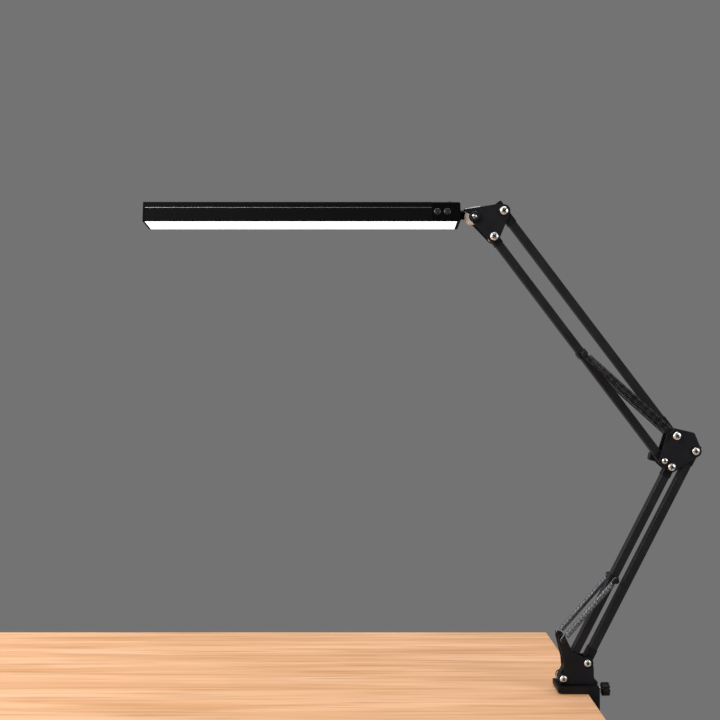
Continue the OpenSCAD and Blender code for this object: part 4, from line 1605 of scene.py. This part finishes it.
@dataclass
class Elbow:
    """Two plates that join the arms, with the friction knob behind."""

    body: str = "elbow"
    bolt_head: float = 9.6
    seed: int = 23
    # Centre and radius of the circles that one wing of the knob is drawn round
    wing: tuple[tuple[Point, float], ...] = (((0.0, 0.0), 4.4), ((-8.4, 6.4), 3.2), ((-10.0, 1.0), 2.8))
    wing_low: float = 5.5
    wing_top: float = 13.0
    knob_gap: float = 0.3
    friction_reach: float = 12.0

    def build(self) -> None:
        """Builds the plates, the spacer and the fasteners."""
        take_over(self.body, Slot.PLATE_PAINT, 0.4, "elbow_front_plate", "elbow_rear_plate")
        take_over(self.body, Slot.PLATE_PAINT, 0.3, "elbow_spacer")
        take_over(self.body, Slot.NYLON, 0.12, "elbow_washers", segments=2)
        self.wing_knob()
        places, seat = [LAMP.elbow_rear, LAMP.elbow_front], LAMP.plate_out
        nuts = [(p, seat) for p in places] + [(LAMP.elbow_high, LAMP.pin_reach)]
        bolt = Bolt(head=self.bolt_head, shank=2 * seat + BOLT_END)
        PivotRow("elbow_bolts", self.body, places, seat, bolt, self.seed, "elbow_nuts", nuts).build()
        spring_bolt = Bolt(shank=2 * LAMP.pin_reach + BOLT_END)
        self.lone_bolt("elbow_spring_bolt", LAMP.elbow_high, LAMP.pin_reach, spring_bolt)
        reach = 2 * seat + self.friction_reach
        friction_bolt = Bolt(diameter=4.0, head=7.4, head_height=2.4, shank=reach, thread=9.0)
        self.lone_bolt("elbow_friction_bolt", LAMP.elbow_low, seat, friction_bolt)

    def wing_knob(self) -> None:
        """Builds the two-winged knob on the friction bolt's back end."""
        hub = eased([(2.1, 0.0), (4.9, 0.0), (5.5, 0.7), (5.5, 8.6), (4.6, 9.4), (2.1, 9.4)], 0.3)
        wings = []
        for side in (1, -1):
            outline = hull([((side * x, side * y), radius) for (x, y), radius in self.wing])
            wings.append(rounded(prism(outline, self.wing_low, self.wing_top), 1.2, 4, 50.0))
        upright = Matrix.Rotation(math.pi, 4, "Z") @ Matrix.Scale(-1, 4, (1, 0, 0))
        knob = placed(one_mesh(lathe(hub, ring=True), *wings), upright)
        back = at(LAMP.elbow_low.x, LAMP.plate_out + self.knob_gap, LAMP.elbow_low.y) @ BACKWARD
        dress("elbow_wing_nut", placed(knob, back), "friction_knob", Slot.KNOB_PLASTIC)

    def lone_bolt(self, node: str, place: Vector, seat: float, bolt: Bolt) -> None:
        """Puts one bolt at its own depth.

        Args:
            node: CAD node that it stands for.
            place: Its place in the lamp's plane.
            seat: Depth of its head's underside.
            bolt: Its sizes.
        """
        row = BoltRow(node, self.body, [place], seat, bolt, self.seed + len(node))
        row.bolts()
        row.painted_shade_crosses()


@dataclass
class UpperArm:
    """Two square tubes in parallel with their end fittings and dark springs."""

    coil: float = 9.4
    wire: float = 1.6
    turns: int = 62
    pins: tuple[float, float] = (2.5, 2.0)
    bend_start: float = 4.0
    bend: float = 34.0

    def build(self) -> None:
        """Builds the tubes, the fittings, the clip and the springs."""
        for body in ("upper_top", "upper_bottom"):
            take_over(body, Slot.TUBE_BLACK, 0.9, f"{body}_tube", segments=4)
            take_over(body, Slot.FITTING_PLASTIC, 0.5, f"{body}_ends")
        take_over("upper_bottom", Slot.CLIP_STEEL, 0.4, "upper_spring_clip")
        for node, depth in (("upper_spring_near", -LAMP.hook_y), ("upper_spring_far", LAMP.hook_y)):
            self.spring(node, depth)

    def spring(self, node: str, depth: float) -> None:
        """Builds a spring from the elbow's bolt to the pin on the bottom tube, fixed where it stands.

        Args:
            node: CAD node that it stands for.
            depth: Its distance from the middle plane.
        """
        slot, low = Slot.SPRING_BLACK, LAMP.elbow_high
        spring = Spring(low, LAMP.upper_pin, depth, self.coil, self.wire, self.turns, self.pins)
        piece = shown(node + ".dressed", spring.mesh(FINISHES[slot]), slot)
        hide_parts(node)
        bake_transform(piece)
        LOG.info("%s bends between elbow and upper_bottom", piece.name)


@dataclass
class HeadBracket:
    """Two plates at the arm's top end, with the tilt knob."""

    body: str = "head_bracket"
    bolt_head: float = 10.4
    seed: int = 37
    knob_radius: float = 6.4
    knob_depth: float = 8.8
    knob_ribs: int = 22
    rib_half: float = 0.42
    slot_half: float = 0.8
    slot_floor: float = 3.5

    def build(self) -> None:
        """Builds the plates, the fasteners and the tilt knob."""
        take_over(self.body, Slot.PLATE_PAINT, 0.4, "head_front_plate", "head_rear_plate")
        take_over(self.body, Slot.NYLON, 0.12, "head_washers", segments=2)
        places, seat = [LAMP.head_high, LAMP.head_low], LAMP.plate_out
        nuts = [(p, seat) for p in [*places, LAMP.tilt]]
        bolt = Bolt(head=self.bolt_head, shank=2 * seat + BOLT_END)
        PivotRow("head_bolts", self.body, places, seat, bolt, self.seed, "head_nuts", nuts).build()
        front = at(LAMP.tilt.x, -self.knob_depth, LAMP.tilt.y) @ FORWARD
        self.tilt_knob(front)
        self.tilt_bolt(front)

    def tilt_knob(self, front: Matrix) -> None:
        """Builds the ribbed knob, with its base at the plate's front.

        Args:
            front: Axes of the knob, with Z out of the plate.
        """
        rim = self.knob_radius
        profile = eased(
            [
                (2.55, 0.0), (rim - 0.9, 0.0), (rim - 0.45, 0.6), (rim - 0.45, 4.3), (rim - 1.1, 5.0),
                (4.5, 5.0), (4.15, 4.6), (4.15, 2.5), (2.55, 2.5),
            ],
            0.25,
        )
        rib = rounded(box((rim - 0.9, -self.rib_half, 0.6), (rim, self.rib_half, 4.4)), 0.25, 3)
        ribs = GROW.round_axis(rib, self.knob_ribs, FINISHES[Slot.KNOB_PLASTIC])
        knob = placed(one_mesh(lathe(profile, 64, ring=True), ribs), front)
        dress("tilt_knob", knob, "tilt_screw", Slot.KNOB_PLASTIC)

    def tilt_bolt(self, front: Matrix) -> None:
        """Builds the bolt in the knob, whose coned end has a slot.

        Args:
            front: Axes of the knob, with Z out of the plate.
        """
        bottom = -(self.knob_depth + LAMP.plate_out + BOLT_END)
        turned = [
            (0.0, bottom), (2.0, bottom), (2.5, bottom + 0.5), (2.5, 2.55), (3.8, 2.55), (4.0, 2.75),
            (4.0, 2.95), (0.5, 4.5), (0.0, 4.55),
        ]
        slot = box((-self.slot_half, -5, self.slot_floor), (self.slot_half, 5, 6))
        bolt = placed(crisp(cut(lathe(turned, 64), slot), MACHINED), front)
        # Two bright sectors on a grey cone, on the sides that face the lights
        cone = TurnedSteel("turned nickel disc", "#AEAFB1", 0.26, 1.0, centre=(LAMP.tilt.x, 0.0, LAMP.tilt.y))
        dress("tilt_bolt", bolt, "tilt_screw", Slot.BOLT_NICKEL, cone)


@dataclass
class LightBar:
    """Light bar with its yoke, neck, buttons and electronics. Its own axes start at its inner end."""

    body: str = "head"
    length: float = 400.0
    half_depth: float = 19.0
    top: float = 11.8
    middle: float = -0.9
    control_end: float = -36.2
    high_corner: float = 3.6
    low_corner: float = 1.6
    neck_d: float = 12.4
    neck_len: float = 6.6
    neck_bore: float = 8.1
    neck_ribs: int = 4
    neck_rib_width: float = 1.0
    # Painted highlight line: start before the end cap, depths under the side's face, and drops from the top
    line_inset: float = 2.6
    line_depths: tuple[float, float] = (0.45, 0.12)
    line_drops: tuple[float, float] = (7.75, 7.35)
    button_x: float = -16.6
    button_pitch: float = 12.6
    led_columns: int = 40
    led_inset: float = 18.4
    led_last: float = -44.0
    led_y: float = 7.6
    led_half: Point = (1.4, 1.75)
    led_low: float = 5.4
    led_high: float = 6.2
    screw_x: float = -13.4
    screw_inset: float = 3.4

    def build(self) -> None:
        """Builds the bar from its neck to its end cap."""
        take_over("yoke", Slot.JOINT_METAL, 0.6, "head_yoke")
        take_over("yoke", Slot.JOINT_METAL, 0.3, "roll_spindle")
        self.neck()
        take_over(self.body, Slot.BAR_BLACK, 0.22, "bar_housing")
        take_over(self.body, Slot.END_PLASTIC, 0.3, "bar_end_cap")
        self.control_housing()
        take_over(self.body, Slot.OPAL, 0.25, "diffuser")
        take_over(self.body, Slot.BOARD_WHITE, 0.1, "led_board", segments=2)
        take_over(self.body, Slot.BOARD_GREEN, 0.15, "control_board", segments=2)
        self.groove_lines()
        self.led_rows()
        self.buttons()
        self.top_screw()

    def control_housing(self) -> None:
        """Builds the control housing, whose inner end has round corners."""
        low, high, small = 2 * self.middle - self.top, self.high_corner, self.low_corner
        # The tool reaches well past the housing on its plain sides
        square = [((-60.0, low), 0.0), ((-60.0, self.top), 0.0)]
        corners = [((-high, self.top - high), high), ((-small, low + small), small)]
        tool = placed(prism(hull(square + corners), -30, 30), LAMP.bar @ FORWARD)
        mesh = rounded(cut(clean_copy("control_housing"), tool, Cut.INSIDE), 0.35)
        dress("control_housing", mesh, self.body, Slot.END_PLASTIC)

    def neck(self) -> None:
        """Builds the ribbed neck round the spindle."""
        rim, bore, length, wide = self.neck_d / 2, self.neck_bore / 2, self.neck_len, self.neck_rib_width
        core = [(bore, 0.0), (rim - 0.9, 0.0), (rim - 0.9, length), (bore, length)]
        rise = [(rim - 1.2, 0.0), (rim - 0.2, 0.0), (rim, 0.2)]
        profile = rise + [(radius, wide - height) for radius, height in reversed(rise)]
        rib = lathe(eased(profile, 0.15), 64, ring=True)
        step = (0.0, 0.0, (length - wide) / (self.neck_ribs - 1))
        ribs = GROW.in_row(rib, self.neck_ribs, step, FINISHES[Slot.END_PLASTIC])
        collar = placed(one_mesh(lathe(core, 64, ring=True), ribs), LAMP.bar @ ALONG)
        dress("neck_collar", collar, self.body, Slot.END_PLASTIC)

    def groove_lines(self) -> None:
        """Lays a bright strip in the groove of each long side, as a painted highlight line."""
        start, stop = -self.length + self.line_inset, self.control_end
        low, high = (self.top - drop for drop in self.line_drops)
        lines = []
        for side in (-1, 1):
            near, far = sorted(side * (self.half_depth - depth) for depth in self.line_depths)
            lines.append(box((start, near, low), (stop, far, high)))
        ride(shown("groove_lines", placed(one_mesh(*lines), LAMP.bar), None, PAINTED_HIGHLIGHT_LINE), self.body)

    def led_rows(self) -> None:
        """Builds both rows of LEDs on the board."""
        first, y = -self.length + self.led_inset, self.led_y
        pitch = (self.led_last - first) / (self.led_columns - 1)
        half, wide = self.led_half
        shell = box((first - half, -y - wide, self.led_low), (first + half, -y + wide, self.led_high))
        gel = lathe([(0.0, 0.6), (1.15, 0.6), (1.15, 0.75), (0.9, 0.8), (0.0, 0.8)], 16)
        gel = placed(gel, at(first, -y, self.led_high) @ Matrix.Rotation(math.pi, 4, "X"))
        led = one_mesh(rounded(shell, 0.12, 2), gel)
        values = {
            "Columns": self.led_columns,
            "Rows": 2,
            "Column Step": (pitch * MM, 0.0, 0.0),
            "Row Step": (0.0, 2 * y * MM, 0.0),
        }
        mesh = GROW.grown(GROW.stepped, FINISHES[Slot.LED_LENS], values, led)
        dress("leds", placed(mesh, LAMP.bar), self.body, Slot.LED_LENS)

    def buttons(self) -> None:
        """Builds both push buttons, with a domed face."""
        profile = [
            (0.0, 14.2), (1.5, 14.2), (1.5, 16.4), (5.3, 16.4), (5.3, 17.35), (4.4, 17.35), (4.4, 18.7),
            (4.1, 19.15), (3.3, 19.5), (2.2, 19.72), (1.1, 19.8), (0.0, 19.8),
        ]
        for i, name in enumerate(("power", "brightness")):
            where = LAMP.bar @ at(self.button_x - i * self.button_pitch, 0, self.middle) @ FORWARD
            mesh = placed(crisp(lathe(eased(profile, 0.2), 56)), where)
            dress(f"{name}_button", mesh, f"{name}_key", Slot.BUTTON_PLASTIC)

    def top_screw(self) -> None:
        """Builds the small screw on top of the control housing."""
        screw = Bolt(diameter=2.4, head=4.0, head_height=1.4, shank=4.6, thread=3.2).mesh()
        where = LAMP.bar @ at(self.screw_x, -self.half_depth + self.screw_inset, self.top)
        dress("bar_screws", placed(screw, where), self.body, Slot.TRIM_SCREW)


@dataclass(frozen=True)
class Softbox:
    """Square studio light, in metres and watts."""

    name: str
    place: tuple[float, float, float]
    aim: tuple[float, float, float]
    size: float
    power: float

    def build(self) -> None:
        """Hangs the light in its place and faces it to its aim."""
        lamp = bpy.data.lights.new(self.name, "AREA")
        lamp.shape = "SQUARE"
        lamp.size = self.size
        lamp.energy = self.power
        holder = new_piece(self.name, lamp)
        holder.location = self.place
        holder.rotation_euler = (Vector(self.aim) - Vector(self.place)).to_track_quat("-Z", "Y").to_euler()


@dataclass
class Studio:
    """Desk, floor, light and camera. Places are in metres here."""

    desk_edge: float = 0.019
    desk_far: float = 0.245
    desk_t: float = 0.030
    desk_near: tuple[float, float] = (-1.6, -1.3)
    floor_z: float = -0.75
    floor_t: float = 0.02
    floor_far: float = 1.5
    floor_reach: float = 4.0
    grey: str = "#737373"
    eye: tuple[float, float, float] = (-0.2699, -1.158, 0.42164)
    lens: float = 45.275
    softboxes: tuple[Softbox, ...] = (
        Softbox("key softbox", (-1.5, -1.3, 1.5), (0.0, 0.0, 0.35), 1.1, 36.0),
        Softbox("left softbox", (-1.7, 0.25, 0.75), (0.05, 0.0, 0.3), 1.3, 24.0),
        Softbox("top softbox", (0.1, 0.3, 1.9), (0.0, 0.0, 0.4), 1.4, 22.0),
        Softbox("right fill", (1.6, -0.9, 0.9), (0.0, 0.0, 0.3), 1.0, 16.0),
    )

    def build(self) -> None:
        """Builds the whole studio."""
        self.ground()
        for softbox in self.softboxes:
            softbox.build()
        self.world()
        self.camera()
        bpy.context.scene.view_settings.view_transform = "Standard"

    def ground(self) -> None:
        """Builds the desk in the clamp's jaws and the floor far below."""
        oak = PaleWood("pale oak veneer", "#DCAD88", 0.5)
        desk_low = (*self.desk_near, -self.desk_t)
        desk_high = (self.desk_edge, self.desk_far, 0.0)
        desk = shown("desk", rounded(self.slab(desk_low, desk_high), 1.5), None, oak)
        paint = MattPaint("pale floor paint", "#D4D4D2", 0.8)
        reach = self.floor_reach
        floor_low = (-reach, -reach, self.floor_z - self.floor_t)
        floor = shown("floor", self.slab(floor_low, (reach, self.floor_far, self.floor_z)), None, paint)

    @staticmethod
    def slab(low: tuple[float, float, float], high: tuple[float, float, float]) -> Mesh:
        """Upright block between two corners in metres."""
        return box(tuple(x / MM for x in low), tuple(x / MM for x in high))

    def world(self) -> None:
        """Sets the plain grey surroundings."""
        world = bpy.data.worlds.new("grey studio")
        world.use_nodes = True
        world.node_tree.nodes["Background"].inputs["Color"].default_value = linear(self.grey)
        world.node_tree.nodes["Background"].inputs["Strength"].default_value = 1.0
        bpy.context.scene.world = world

    def camera(self) -> None:
        """Puts the camera where the photograph was taken."""
        data = bpy.data.cameras.new("camera")
        data.lens = self.lens
        data.sensor_width = 36.0
        data.clip_start, data.clip_end = 0.01, 50.0
        camera = new_piece("camera", data)
        camera.location = self.eye
        camera.rotation_euler = (math.pi / 2, 0.0, 0.0)
        bpy.context.scene.camera = camera


def main() -> None:
    """Builds the studio and every sub-assembly."""
    logging.basicConfig(level=logging.INFO, format="%(message)s")
    Studio().build()
    for assembly in (Clamp(), BaseBracket(), LowerArm(), Elbow(), UpperArm(), HeadBracket(), LightBar()):
        assembly.build()
        LOG.info("%s is built", type(assembly).__name__)


if __name__ == "__main__":
    main()
